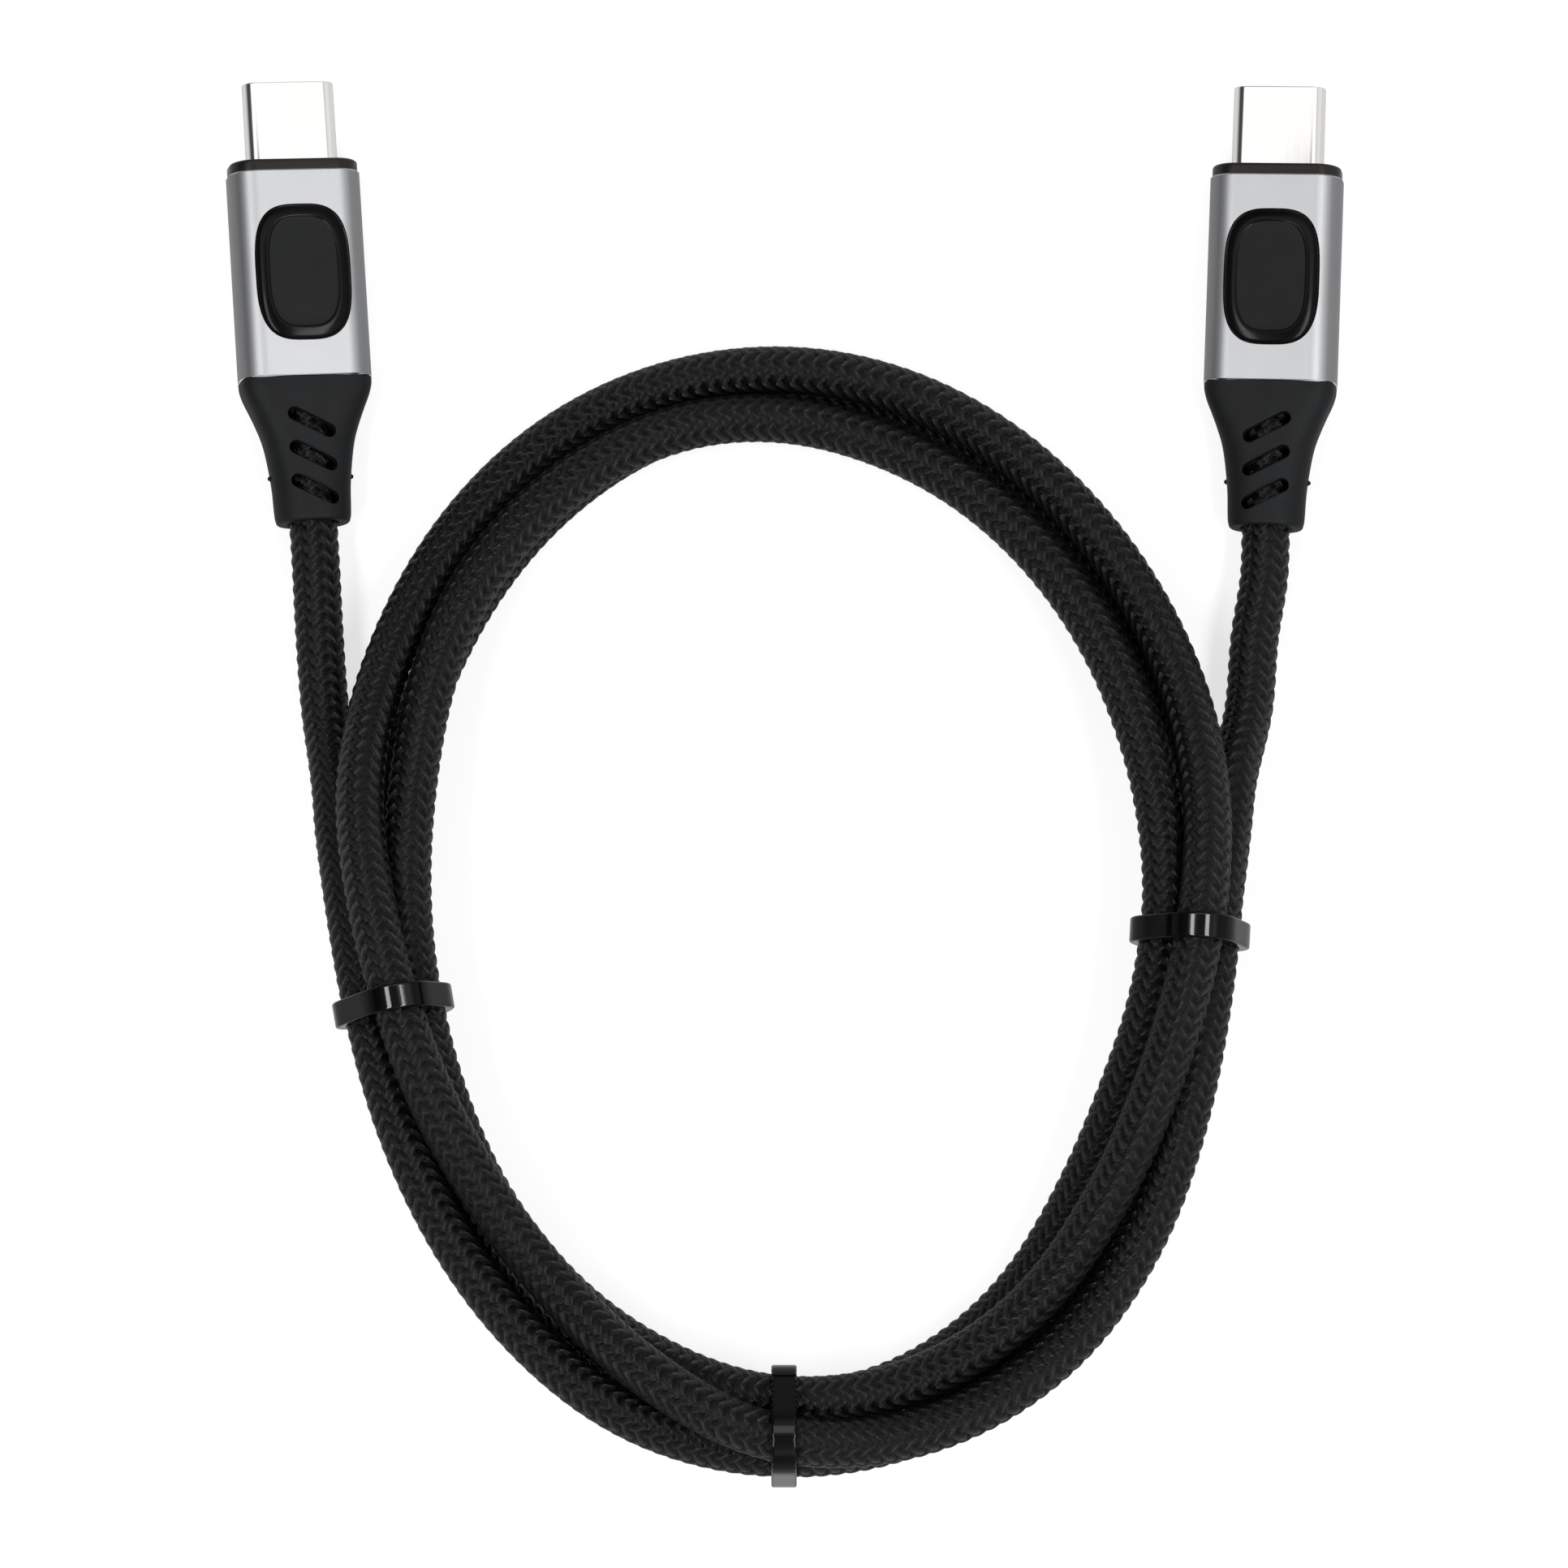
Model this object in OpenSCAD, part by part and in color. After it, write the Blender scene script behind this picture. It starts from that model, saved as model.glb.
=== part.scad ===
// A one metre USB-C to USB-C charging cable with a braided cord.
// The cord is wound three times round and held by three cable ties, and the
// two plugs lie beside it at the top, pointing away from the coil.
// Millimetres. +Z up, +Y towards the plug tips, the lowest faces on z = 0.

/* [Plug shell] */
// Width of the metal shell
shell_w = 8.25; // [8.1:0.05:8.5]
// Thickness of the metal shell
shell_h = 2.4; // [2.3:0.05:2.7]
// Wall of the metal shell
shell_wall = 0.25; // [0.2:0.01:0.3]
// Length of shell that stands out of the collar
shell_out = 7.35; // [6:0.05:8]
// Length of shell held behind the collar's face
shell_in = 6.5; // [5:0.1:7.5]

/* [Mouth and contacts] */
// Width of the mouth that takes the socket's tongue
mouth_w = 6.75; // [6.7:0.01:6.8]
// Height of the mouth
mouth_h = 1.1; // [1:0.05:1.2]
// Depth of the mouth
mouth_depth = 5.6; // [5:0.1:6]
// Contacts in each of the two rows
contact_count = 12; // [6:1:12]
// Spacing of the contacts
contact_pitch = 0.5; // [0.45:0.01:0.52]
// Width of a contact
contact_w = 0.24; // [0.2:0.01:0.26]
// Thickness of a contact
contact_t = 0.12; // [0.08:0.01:0.14]

/* [Circuit board] */
// Width of the circuit board
board_w = 7.6; // [7:0.1:8.4]
// Length of the circuit board
board_len = 5.6; // [5:0.1:6.4]
// Side of the square marker chip
chip_side = 2.4; // [2:0.1:2.8]
// Height of the marker chip
chip_h = 0.6; // [0.4:0.05:0.8]

/* [Sleeve] */
// Width of the aluminium sleeve
sleeve_w = 11.85; // [11.2:0.05:12.6]
// Thickness of the aluminium sleeve
sleeve_h = 5.9; // [5.7:0.05:6.6]
// Length of the sleeve
sleeve_len = 18.8; // [17.5:0.1:21]
// Radius of the sleeve's long edges
sleeve_r = 2.4; // [2:0.05:2.7]
// Wall of the sleeve
sleeve_wall = 0.6; // [0.5:0.05:0.7]
// Length of the black collar in front of the sleeve
collar_out = 1; // [0.6:0.05:1.4]

/* [Badge] */
// Width of the badge
badge_w = 8.3; // [7:0.1:8.6]
// Length of the badge
badge_len = 12.1; // [10:0.1:13]
// Corner radius of the badge
badge_r = 3.3; // [2.5:0.1:3.4]
// Width of the badge's bevelled rim
badge_rim = 0.85; // [0.5:0.05:1.1]
// Height of the badge's flat above the sleeve
badge_rise = 0.4; // [0.2:0.05:0.6]

/* [Boot] */
// Length of the strain relief boot
boot_len = 12.9; // [12:0.1:15]
// Width of the boot where the cord leaves it
boot_end_w = 6.7; // [6.2:0.1:7.4]
// Thickness of the boot where the cord leaves it
boot_end_h = 5.5; // [5.3:0.1:6]
// Length of a slot in the boot
slot_len = 4.6; // [3.8:0.1:4.8]
// Width of a slot in the boot
slot_w = 1.15; // [0.9:0.05:1.4]
// Slant of the slots
slot_slant = 28; // [15:1:35]
// Spacing of the slots along the boot
slot_pitch = 3; // [2.8:0.05:3.2]

/* [Cord and coil] */
// Diameter of the cord
cord_d = 4; // [3.6:0.1:4.2]
// Clearance between neighbouring strands of the coil
strand_gap = 0.5; // [0.5:0.05:0.8]
// Half the width of the coil, at the middle of its bundle
coil_half_w = 35.5; // [35:0.1:36.5]
// Half the length of the coil, at the middle of its bundle
coil_half_l = 44.7; // [43.5:0.1:46]

/* [Cable ties] */
// Width of a cable tie's strap
tie_w = 2.2; // [2:0.1:3.5]
// Thickness of the strap
tie_t = 0.9; // [0.8:0.05:1.3]
// Width of the tie's head, across the bundle
head_w = 4.6; // [4.2:0.1:5.4]
// Length of the tie's head, along the bundle
head_len = 4.8; // [4.6:0.1:5.6]
// Height of the tie's head
head_h = 3.2; // [2.8:0.1:3.6]

/* [Hidden] */
$fn = 64;
// Clearance between pieces that fit together
fit = 0.05;
// Clearance between a tie and the strands in it
seat_gap = 0.3;
overcut = 1;

cord_r = cord_d / 2;
cord_bore_r = cord_r + 2 * fit;
collar_face_y = sleeve_len + collar_out;
shell_tip_y = collar_face_y + shell_out;
shell_rear_y = collar_face_y - shell_in;
collar_spigot = 1.4;
collar_inset = 0.15;
boot_spigot = 1.5;
cavity_w = sleeve_w - 2 * sleeve_wall;
cavity_h = sleeve_h - 2 * sleeve_wall;
cavity_r = sleeve_r - sleeve_wall;
badge_y = sleeve_len / 2;

// Insulator, contacts and springs, inside the shell
insulator_w = shell_w - 2 * shell_wall - 2 * fit;
insulator_h = shell_h - 2 * shell_wall - 2 * fit;
insulator_setback = 0.25;
insulator_front_y = shell_tip_y - insulator_setback;
mouth_back_y = insulator_front_y - mouth_depth;
groove_d = contact_t + fit;
groove_w = contact_w + 2 * fit;
groove_setback = 2.6;
groove_front_y = insulator_front_y - groove_setback;
contact_sink = 0.02;
contact_z = mouth_h / 2 + contact_sink;
contact_dip = 0.28;
contact_tail = 1.2;
contact_tip_gap = 0.15;
contact_tip_len = 0.7;
contact_root = 0.3;
contact_tip_y = groove_front_y - contact_tip_gap;
contact_touch_y = contact_tip_y - contact_tip_len;
contact_bend_y = mouth_back_y + contact_root;
latch_t = 0.3;
latch_arm = 0.2;
latch_hook = 0.35;
latch_ramp = 0.5;
latch_bar = 0.8;
latch_half_w = mouth_w / 2 + fit + latch_arm;
latch_setback = 1.6;
latch_tail = 0.6;
latch_front_y = insulator_front_y - latch_setback;
latch_rear_y = shell_rear_y + latch_tail;
spring_w = 5.6;
spring_len = 1.3;
spring_t = 0.1;
spring_setback = 1.55;
spring_y = insulator_front_y - spring_setback;
finger_count = 4;
finger_w = 0.6;
finger_len = 0.8;
finger_reach = 0.12;

// Board, wires and crimp, inside the sleeve
board_t = mouth_h;
board_front_y = shell_rear_y - fit;
board_rear_y = board_front_y - board_len;
chip_offset = 0.1;
chip_y = board_rear_y + board_len / 2 - chip_offset;
crimp_rear_y = boot_spigot + fit;
crimp_len = 2.8;
crimp_r = cavity_h / 2 - 2 * fit;
cord_setback = 0.4;
cord_start_y = crimp_rear_y + crimp_len - cord_setback;
wire_setback = 0.2;
wire_front_y = chip_y - chip_side / 2 - wire_setback;
power_wire_r = 0.5;
power_wire_x = 0.85;
signal_wire_r = 0.35;
signal_wire_x = 0.7;

// Boot sections, from the sleeve to the cord: share of the boot's length,
// share of the way from the sleeve's size to the end's, and squareness.
// The nubs are small round pips on the boot's two sides.
boot_sections = [
    [0, 0, 4], [0.05, 0.02, 4], [0.12, 0.12, 3.8], [0.2, 0.29, 3.5],
    [0.3, 0.49, 3.1], [0.42, 0.69, 2.8], [0.56, 0.82, 2.5], [0.75, 0.93, 2.3],
    [0.95, 0.98, 2.2], [1, 1.05, 2.2]
];
boot_sides = 32;
boot_inset = 0.05;
boot_start_w = sleeve_w - 2 * boot_inset;
boot_start_h = sleeve_h - 2 * boot_inset;
first_slot_y = -4.15;
slot_count = 3;
nub_share = 0.675;
nub_y = -nub_share * boot_len;
nub_r = 0.45;
nub_out = 0.6;
nub_tip_w = boot_end_w + 2 * nub_out;

// Where the plugs lie: place of the seam between sleeve and boot, lean of the
// tip towards -X, and roll about the plug's own axis
left_seam = [-42.8, 35.67];
left_lean = 3.85;
left_roll = 12;
right_seam = [43.28, 35.29];
right_lean = -2.35;
right_roll = -8;

// The cord's free stretches between the boots and the coil
left_bends = [[-41.29, 12.56, 3.7], [-40.79, 6.56, 3.9]];
right_bends = [[41.66, 12.56, 3.7], [41.11, 6.56, 4.2]];
free_sides = 10;

// The coil runs anticlockwise round this point, seen from above
coil_centre = [-0.09, -11.44];
coil_start = 165;
coil_end = 1455;
turn_rings = 24;
coil_sides = 6;
coil_step = 360 / turn_rings;
pitch = cord_d + strand_gap;
low_z = cord_r + 2 * fit;

// How the strand lies in the bundle: angle run since the first pass crossed
// the +X side, and its place outwards and upwards, in strand spacings
lay = [
    [150, 1.7, 0.15], [165, 1.09, 0.1], [180, 0.61, 0.59], [195, 0.39, 0.87],
    [210, 0.36, 0.98], [225, 0.43, 1.01], [240, 0.58, 1.03], [255, 0.77, 0.93],
    [270, 0.82, 0.56], [285, 0.84, 0.16], [300, 0.66, 0], [330, 0.15, 0],
    [360, -0.1, 0], [390, 0.05, 0], [450, 0.09, 0.01], [480, -0.03, 0.01],
    [510, -0.12, 0], [525, -0.1, 0], [555, -0.27, 0], [570, 0.01, 0], [600, 0.39, 0],
    [615, 0.29, 0], [630, -0.06, 0], [645, -0.17, 0], [660, -0.36, 0.03],
    [675, -0.62, 0.22], [690, -0.7, 0.57], [705, -0.57, 0.86], [720, -0.45, 0.94],
    [735, -0.45, 0.91], [750, -0.48, 0.86], [795, -0.5, 0.87], [825, -0.16, 1.07],
    [855, -0.07, 1.07], [885, -0.46, 0.93], [915, -0.62, 0.94], [930, -0.63, 0.8],
    [945, -0.58, 0.6], [960, -0.53, 0.43], [975, -0.41, 0.79], [990, -0.17, 1.04],
    [1005, -0.02, 0.98], [1020, 0.02, 1.01], [1035, -0.09, 1.26], [1050, -0.11, 1.59],
    [1065, 0.02, 1.75], [1080, 0.25, 1.69], [1095, 0.48, 1.31], [1110, 0.59, 0.92],
    [1140, 0.59, 0.88], [1170, 0.67, 0.84], [1200, 0.9, 0.53], [1230, 0.75, 0.71],
    [1245, 0.54, 1.22], [1260, 0.14, 1.69], [1275, -0.2, 1.85], [1290, -0.41, 1.8],
    [1305, -0.54, 1.6], [1320, -0.47, 1.46], [1335, -0.05, 1.76], [1350, 0.62, 1.74],
    [1365, 0.96, 1.28], [1380, 1.04, 0.97], [1395, 0.87, 0.88], [1410, 0.62, 0.88],
    [1425, 0.5, 0.86], [1440, 0.58, 0.74], [1448, 0.8, 0.45], [1455, 1.06, 0.24],
    [1470, 1.9, 0.1]
];

// The three ties, the stretch each one holds level, and how much of their
// lift the bundle has in between
left_tie_angle = 195.5;
bottom_tie_angle = 270;
right_tie_angle = 355;
tie_lift = head_h + seat_gap + cord_r - low_z;
tie_level = 16;
lift_share = [
    [95, 0], [left_tie_angle - tie_level, 1], [left_tie_angle + tie_level, 1],
    [233, 0.85], [bottom_tie_angle - tie_level, 1], [bottom_tie_angle + tie_level, 1],
    [312, 0.85], [right_tie_angle - tie_level, 1], [right_tie_angle + tie_level, 1],
    [445, 0]
];
tail_play = 0.6;
head_slot_w = tie_t + tail_play;
head_r = 0.6;
tail_recess = 0.25;

plug_nodes = [
    "shell", "insulator", "upper_contacts", "lower_contacts", "latch_plate",
    "upper_spring", "lower_spring", "board", "marker_chip", "power_wires",
    "signal_wires", "crimp", "inner_mould", "collar", "sleeve", "badge", "boot"
];

// ---- The cord's route ----

function unit(v) = v / norm(v);

// Slope of column col of a table at row k
function slope(table, col, k) =
    let (last = len(table) - 1, a = table[max(k - 1, 0)], b = table[min(k + 1, last)])
    (b[col] - a[col]) / (b[0] - a[0]);

function row_of(table, x, k = 0) =
    k < len(table) - 2 && table[k + 1][0] <= x ? row_of(table, x, k + 1) : k;

// Smooth curve through column col of a table, at x
function curve(table, col, x) =
    let (
        k = row_of(table, x),
        span = table[k + 1][0] - table[k][0],
        t = (x - table[k][0]) / span
    )
    (1 + 2 * t) * pow(1 - t, 2) * table[k][col]
    + t * pow(1 - t, 2) * span * slope(table, col, k)
    + t * t * (3 - 2 * t) * table[k + 1][col]
    + t * t * (t - 1) * span * slope(table, col, k + 1);

// Ease in and out between the rows of a two-column table, at x
function ease(table, x) =
    let (
        k = row_of(table, x),
        t = (x - table[k][0]) / (table[k + 1][0] - table[k][0]),
        s = t * t * (3 - 2 * t)
    )
    table[k][1] + (table[k + 1][1] - table[k][1]) * s;

function lift_at(angle) =
    let (
        first = lift_share[0][0],
        last = lift_share[len(lift_share) - 1][0],
        a = angle % 360,
        b = a < last - 360 ? a + 360 : a
    )
    b < first ? 0 : tie_lift * ease(lift_share, b);

// Middle of the bundle in plan, and the outward direction there
function ring_radius(angle) =
    coil_half_w * coil_half_l
    / norm([coil_half_l * cos(angle), coil_half_w * sin(angle)]);

function bundle_mid(angle) =
    [for (k = [0, 1]) coil_centre[k] + ring_radius(angle) * [cos(angle), sin(angle)][k]];

function outward(angle) =
    unit([cos(angle) / pow(coil_half_w, 2), sin(angle) / pow(coil_half_l, 2)]);

function strand_point(angle) =
    let (
        mid = bundle_mid(angle),
        out = pitch * curve(lay, 1, angle) * outward(angle)
    )
    [mid[0] + out[0], mid[1] + out[1], low_z + lift_at(angle) + pitch * curve(lay, 2, angle)];

coil_points = [
    for (angle = [coil_start : coil_step : coil_end]) strand_point(angle)
];

// Point on the coil's straight runs between its rings, at an angle
function run_point(angle) =
    let (
        place = (angle - coil_start) / coil_step,
        k = min(floor(place), len(coil_points) - 2),
        t = place - k
    )
    coil_points[k] * (1 - t) + coil_points[k + 1] * t;

// Distance from point p to the run from a to b
function run_distance(p, a, b) =
    let (t = max(0, min(1, (p - a) * (b - a) / ((b - a) * (b - a)))))
    norm(p - a - t * (b - a));

gap_samples = 4;
function least_gap() =
    min([
        for (i = [0 : len(coil_points) - 2]) for (s = [0 : gap_samples - 1])
            let (
                place = i + s / gap_samples,
                p = run_point(coil_start + place * coil_step)
            )
            for (j = [0 : len(coil_points) - 2])
                if (abs(j + 0.5 - place) > turn_rings / 2)
                    run_distance(p, coil_points[j], coil_points[j + 1])
    ]) - cord_d;

// ---- Shared shapes ----

// Rectangle with round corners, centred
module rounded(w, h, r) {
    square([w - 2 * r, h], center = true);
    square([w, h - 2 * r], center = true);
    for (sx = [-1, 1]) for (sy = [-1, 1])
        translate([sx * (w / 2 - r), sy * (h / 2 - r)]) circle(r);
}

// Slot shape with round ends, centred
module stadium(w, h) {
    square([w - h, h], center = true);
    for (sx = [-1, 1]) translate([sx * (w - h) / 2, 0]) circle(d = h);
}

// A section in the XZ plane, run from y0 to y1
module along_y(y0, y1) {
    translate([0, y1, 0]) rotate([90, 0, 0]) linear_extrude(y1 - y0) children();
}

// Block centred on X and Z, from y0 to y1
module block_y(w, h, y0, y1) {
    along_y(y0, y1) square([w, h], center = true);
}

// Contact places across the plug
contact_xs = [for (k = [0 : contact_count - 1]) (k - (contact_count - 1) / 2) * contact_pitch];

function tangent(points, k) =
    let (last = len(points) - 1)
    k == 0 ? unit(points[1] - points[0])
    : k == last ? unit(points[last] - points[last - 1])
    : unit(unit(points[k] - points[k - 1]) + unit(points[k + 1] - points[k]));

// A round tube swept along points, as triangles
module tube(points, r, sides) {
    last = len(points) - 1;
    rings = [
        for (k = [0 : last])
            let (
                ahead = tangent(points, k),
                across = unit(cross(ahead, [0, 0, 1])),
                up = cross(across, ahead)
            )
            for (s = [0 : sides - 1])
                points[k] + r * (cos(360 * s / sides) * across + sin(360 * s / sides) * up)
    ];
    walls = [
        for (k = [0 : last - 1]) for (s = [0 : sides - 1])
            let (
                a = k * sides + s,
                b = k * sides + (s + 1) % sides
            )
            each [[a, a + sides, b], [b, a + sides, b + sides]]
    ];
    start_cap = [for (s = [1 : sides - 2]) [0, s, s + 1]];
    first = last * sides;
    end_cap = [for (s = [1 : sides - 2]) [first, first + s + 1, first + s]];
    polyhedron(rings, concat(walls, start_cap, end_cap), convexity = 8);
}

// ---- Pieces of a plug, in its own frame ----
// y = 0 is the seam between sleeve and boot, +Y the tip, +Z the badge's side

module shell() {
    color("silver") difference() {
        along_y(shell_rear_y, shell_tip_y) stadium(shell_w, shell_h);
        along_y(shell_rear_y - overcut, shell_tip_y + overcut)
            stadium(shell_w - 2 * shell_wall, shell_h - 2 * shell_wall);
    }
}

// Outline of the latch plate in plan: a bar at the back and two hooked arms
module latch_outline(grow) {
    inner_x = latch_half_w - latch_arm;
    half = [
        [latch_half_w + grow, latch_rear_y - grow],
        [latch_half_w + grow, latch_front_y + grow],
        [inner_x - grow, latch_front_y + grow],
        [inner_x - latch_hook - grow, latch_front_y - latch_ramp],
        [inner_x - grow, latch_front_y - 2 * latch_ramp - grow],
        [inner_x - grow, latch_rear_y + latch_bar + grow]
    ];
    other_half = [for (k = [len(half) - 1 : -1 : 0]) [-half[k][0], half[k][1]]];
    polygon(concat(half, other_half));
}

module latch_plate() {
    color("lightgray") translate([0, 0, -latch_t / 2])
        linear_extrude(latch_t) latch_outline(0);
}

module insulator() {
    color("black") difference() {
        along_y(shell_rear_y, insulator_front_y) stadium(insulator_w, insulator_h);
        block_y(mouth_w, mouth_h, mouth_back_y, insulator_front_y + overcut);
        for (x = contact_xs) translate([x, 0, 0])
            block_y(groove_w, mouth_h + 2 * groove_d, shell_rear_y - overcut, groove_front_y);
        translate([0, 0, -latch_t / 2 - fit])
            linear_extrude(latch_t + 2 * fit) latch_outline(fit);
        for (sz = [-1, 1]) scale([1, 1, sz]) {
            translate([-spring_w / 2 - fit, spring_y - spring_len / 2 - fit,
                insulator_h / 2 - spring_t - fit])
                cube([spring_w + 2 * fit, spring_len + 2 * fit, overcut]);
            for (k = [0 : finger_count - 1])
                translate([finger_x(k), spring_y, 0])
                    linear_extrude(insulator_h)
                        square([finger_w + 2 * fit, finger_len + 2 * fit], center = true);
        }
    }
}

function finger_x(k) = (k - (finger_count - 1) / 2) * spring_w / finger_count;

// Ground spring: a plate under the shell with fingers into the mouth
module upper_spring() {
    plate_z = insulator_h / 2 - spring_t;
    finger_z = mouth_h / 2 - finger_reach;
    color("lightgray") {
        translate([-spring_w / 2, spring_y - spring_len / 2, plate_z])
            cube([spring_w, spring_len, spring_t]);
        for (k = [0 : finger_count - 1])
            translate([finger_x(k) - finger_w / 2, spring_y - finger_len / 2, finger_z])
                cube([finger_w, finger_len, plate_z + spring_t / 2 - finger_z]);
    }
}

module lower_spring() {
    mirror([0, 0, 1]) upper_spring();
}

// A row of spring contacts, each bent in to its touching point
module upper_contacts() {
    profile = [
        [shell_rear_y - contact_tail, contact_z],
        [contact_bend_y, contact_z],
        [contact_touch_y, contact_z - contact_dip],
        [contact_tip_y, contact_z - contact_dip / 3],
        [contact_tip_y, contact_z - contact_dip / 3 + contact_t],
        [contact_touch_y, contact_z - contact_dip + contact_t],
        [contact_bend_y, contact_z + contact_t],
        [shell_rear_y - contact_tail, contact_z + contact_t]
    ];
    color("gold") for (x = contact_xs) translate([x - contact_w / 2, 0, 0])
        rotate([90, 0, 90]) linear_extrude(contact_w) polygon(profile);
}

module lower_contacts() {
    mirror([0, 0, 1]) upper_contacts();
}

module board() {
    color("darkgreen") block_y(board_w, board_t, board_rear_y, board_front_y);
}

module marker_chip() {
    color("dimgray") translate([0, chip_y, board_t / 2])
        linear_extrude(chip_h) square(chip_side, center = true);
}

// A pair of wires that lie on the board, sz = 1 on top of it and -1 below
module wire_pair(x, r, sz, grow) {
    for (sx = [-1, 1])
        translate([sx * x, 0, sz * (board_t / 2 + r)])
            along_y(cord_start_y - (grow > 0 ? overcut : 0), wire_front_y + grow)
                circle(r + grow);
}

module power_wires() {
    color("firebrick") wire_pair(power_wire_x, power_wire_r, 1, 0);
}

module signal_wires() {
    color("white") wire_pair(signal_wire_x, signal_wire_r, -1, 0);
}

module crimp() {
    color("silver") along_y(crimp_rear_y, crimp_rear_y + crimp_len) difference() {
        circle(crimp_r);
        circle(cord_r + fit);
    }
}

// Moulding that fills the sleeve round the board, the wires and the shell, with
// a cheek on each side of the crimp
module inner_mould() {
    tails_h = 2 * (contact_z + contact_t + fit);
    color("gray") difference() {
        along_y(crimp_rear_y, sleeve_len - collar_spigot)
            rounded(cavity_w - 2 * fit, cavity_h - 2 * fit, cavity_r - fit);
        block_y(2 * (crimp_r + fit), cavity_h, crimp_rear_y - overcut,
            crimp_rear_y + crimp_len + fit);
        along_y(shell_rear_y - fit, sleeve_len)
            stadium(shell_w + 2 * fit, shell_h + 2 * fit);
        block_y(board_w + 2 * fit, board_t + 2 * fit, board_rear_y - fit, shell_rear_y);
        block_y(contact_count * contact_pitch, tails_h,
            shell_rear_y - contact_tail - fit, shell_rear_y);
        translate([0, chip_y, 0]) linear_extrude(board_t / 2 + chip_h + fit)
            square(chip_side + 2 * fit, center = true);
        wire_pair(power_wire_x, power_wire_r, 1, fit);
        wire_pair(signal_wire_x, signal_wire_r, -1, fit);
    }
}

// Front collar: a flat ring on the sleeve with a spigot inside it
module collar() {
    color("black") difference() {
        union() {
            along_y(sleeve_len, collar_face_y)
                rounded(sleeve_w - 2 * collar_inset, sleeve_h - 2 * collar_inset,
                    sleeve_r - collar_inset);
            along_y(sleeve_len - collar_spigot, sleeve_len)
                rounded(cavity_w - 2 * fit, cavity_h - 2 * fit, cavity_r - fit);
        }
        along_y(0, shell_tip_y) stadium(shell_w + 2 * fit, shell_h + 2 * fit);
    }
}

module sleeve() {
    color([0.72, 0.73, 0.76]) difference() {
        along_y(0, sleeve_len) rounded(sleeve_w, sleeve_h, sleeve_r);
        along_y(-overcut, sleeve_len + overcut) rounded(cavity_w, cavity_h, cavity_r);
        translate([0, badge_y, 0]) linear_extrude(sleeve_h)
            rounded(badge_w + 2 * fit, badge_len + 2 * fit, badge_r + fit);
    }
}

// Badge: fills the sleeve's window and rises in a bevel to a flat
module badge() {
    base_z = cavity_h / 2 - fit;
    base_h = sleeve_h / 2 - base_z;
    top_w = badge_w - 2 * badge_rim;
    top_len = badge_len - 2 * badge_rim;
    color([0.08, 0.08, 0.08]) translate([0, badge_y, base_z]) hull() {
        linear_extrude(base_h) rounded(badge_w, badge_len, badge_r, $fn = 32);
        linear_extrude(base_h + badge_rise)
            rounded(top_w, top_len, badge_r - badge_rim, $fn = 32);
    }
}

// One corner point of a boot section, a rounded rectangle by its squareness
function section_point(w, h, square_n, angle) =
    let (c = cos(angle), s = sin(angle))
    [w / 2 * sign(c) * pow(abs(c), 2 / square_n), h / 2 * sign(s) * pow(abs(s), 2 / square_n)];

module boot_body() {
    last = len(boot_sections) - 1;
    points = [
        for (section = boot_sections)
            let (
                y = -section[0] * boot_len,
                w = boot_start_w + (boot_end_w - boot_start_w) * section[1],
                h = boot_start_h + (boot_end_h - boot_start_h) * section[1]
            )
            for (k = [0 : boot_sides - 1])
                let (p = section_point(w, h, section[2], 360 * k / boot_sides))
                [p[0], y, p[1]]
    ];
    walls = [
        for (k = [0 : last - 1]) for (s = [0 : boot_sides - 1])
            let (
                a = k * boot_sides + s,
                b = k * boot_sides + (s + 1) % boot_sides
            )
            each [[a, a + boot_sides, b], [b, a + boot_sides, b + boot_sides]]
    ];
    front = [for (s = [1 : boot_sides - 2]) [0, s, s + 1]];
    first = last * boot_sides;
    back = [for (s = [1 : boot_sides - 2]) [first, first + s + 1, first + s]];
    polyhedron(points, concat(walls, front, back), convexity = 4);
}

// Strain relief boot, flip = -1 for the one that is turned over
module boot(flip) {
    color([0.13, 0.13, 0.14]) difference() {
        union() {
            boot_body();
            along_y(-overcut, boot_spigot)
                rounded(cavity_w - 2 * fit, cavity_h - 2 * fit, cavity_r - fit);
            translate([0, nub_y, 0]) rotate([0, 90, 0])
                cylinder(r = nub_r, h = nub_tip_w, center = true);
        }
        along_y(-boot_len - overcut, boot_spigot + overcut) circle(cord_bore_r);
        for (k = [0 : slot_count - 1])
            translate([0, first_slot_y - k * slot_pitch, -sleeve_h])
                rotate([0, 0, flip * slot_slant])
                    linear_extrude(2 * sleeve_h) stadium(slot_len, slot_w);
    }
}

// ---- Placing the plugs ----

// Height of a plug's axis when it lies rolled on the table
function axis_z(roll) =
    (sleeve_w / 2 - sleeve_r) * abs(sin(roll)) + (sleeve_h / 2 - sleeve_r) * cos(roll) + sleeve_r;

module left_plug() {
    translate([left_seam[0], left_seam[1], axis_z(left_roll)])
        rotate([0, 0, left_lean]) rotate([0, left_roll, 0]) children();
}

module right_plug() {
    translate([right_seam[0], right_seam[1], axis_z(right_roll)])
        rotate([0, 0, right_lean]) rotate([0, right_roll, 0]) children();
}

// A point on a plug's axis, in the part's frame
function axis_point(seam, lean, roll, y) =
    [seam[0] - y * sin(lean), seam[1] + y * cos(lean), axis_z(roll)];

// Points of a free stretch: straight out of the boot, through its bends, and
// square onto the coil's end
function free_route(seam, lean, roll, bends, coil_face, coil_way) = concat(
    [
        for (y = [cord_start_y, -boot_len / 3, -boot_len, -boot_len - cord_d])
            axis_point(seam, lean, roll, y)
    ],
    bends,
    [coil_face - cord_d * coil_way, coil_face]
);

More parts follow.
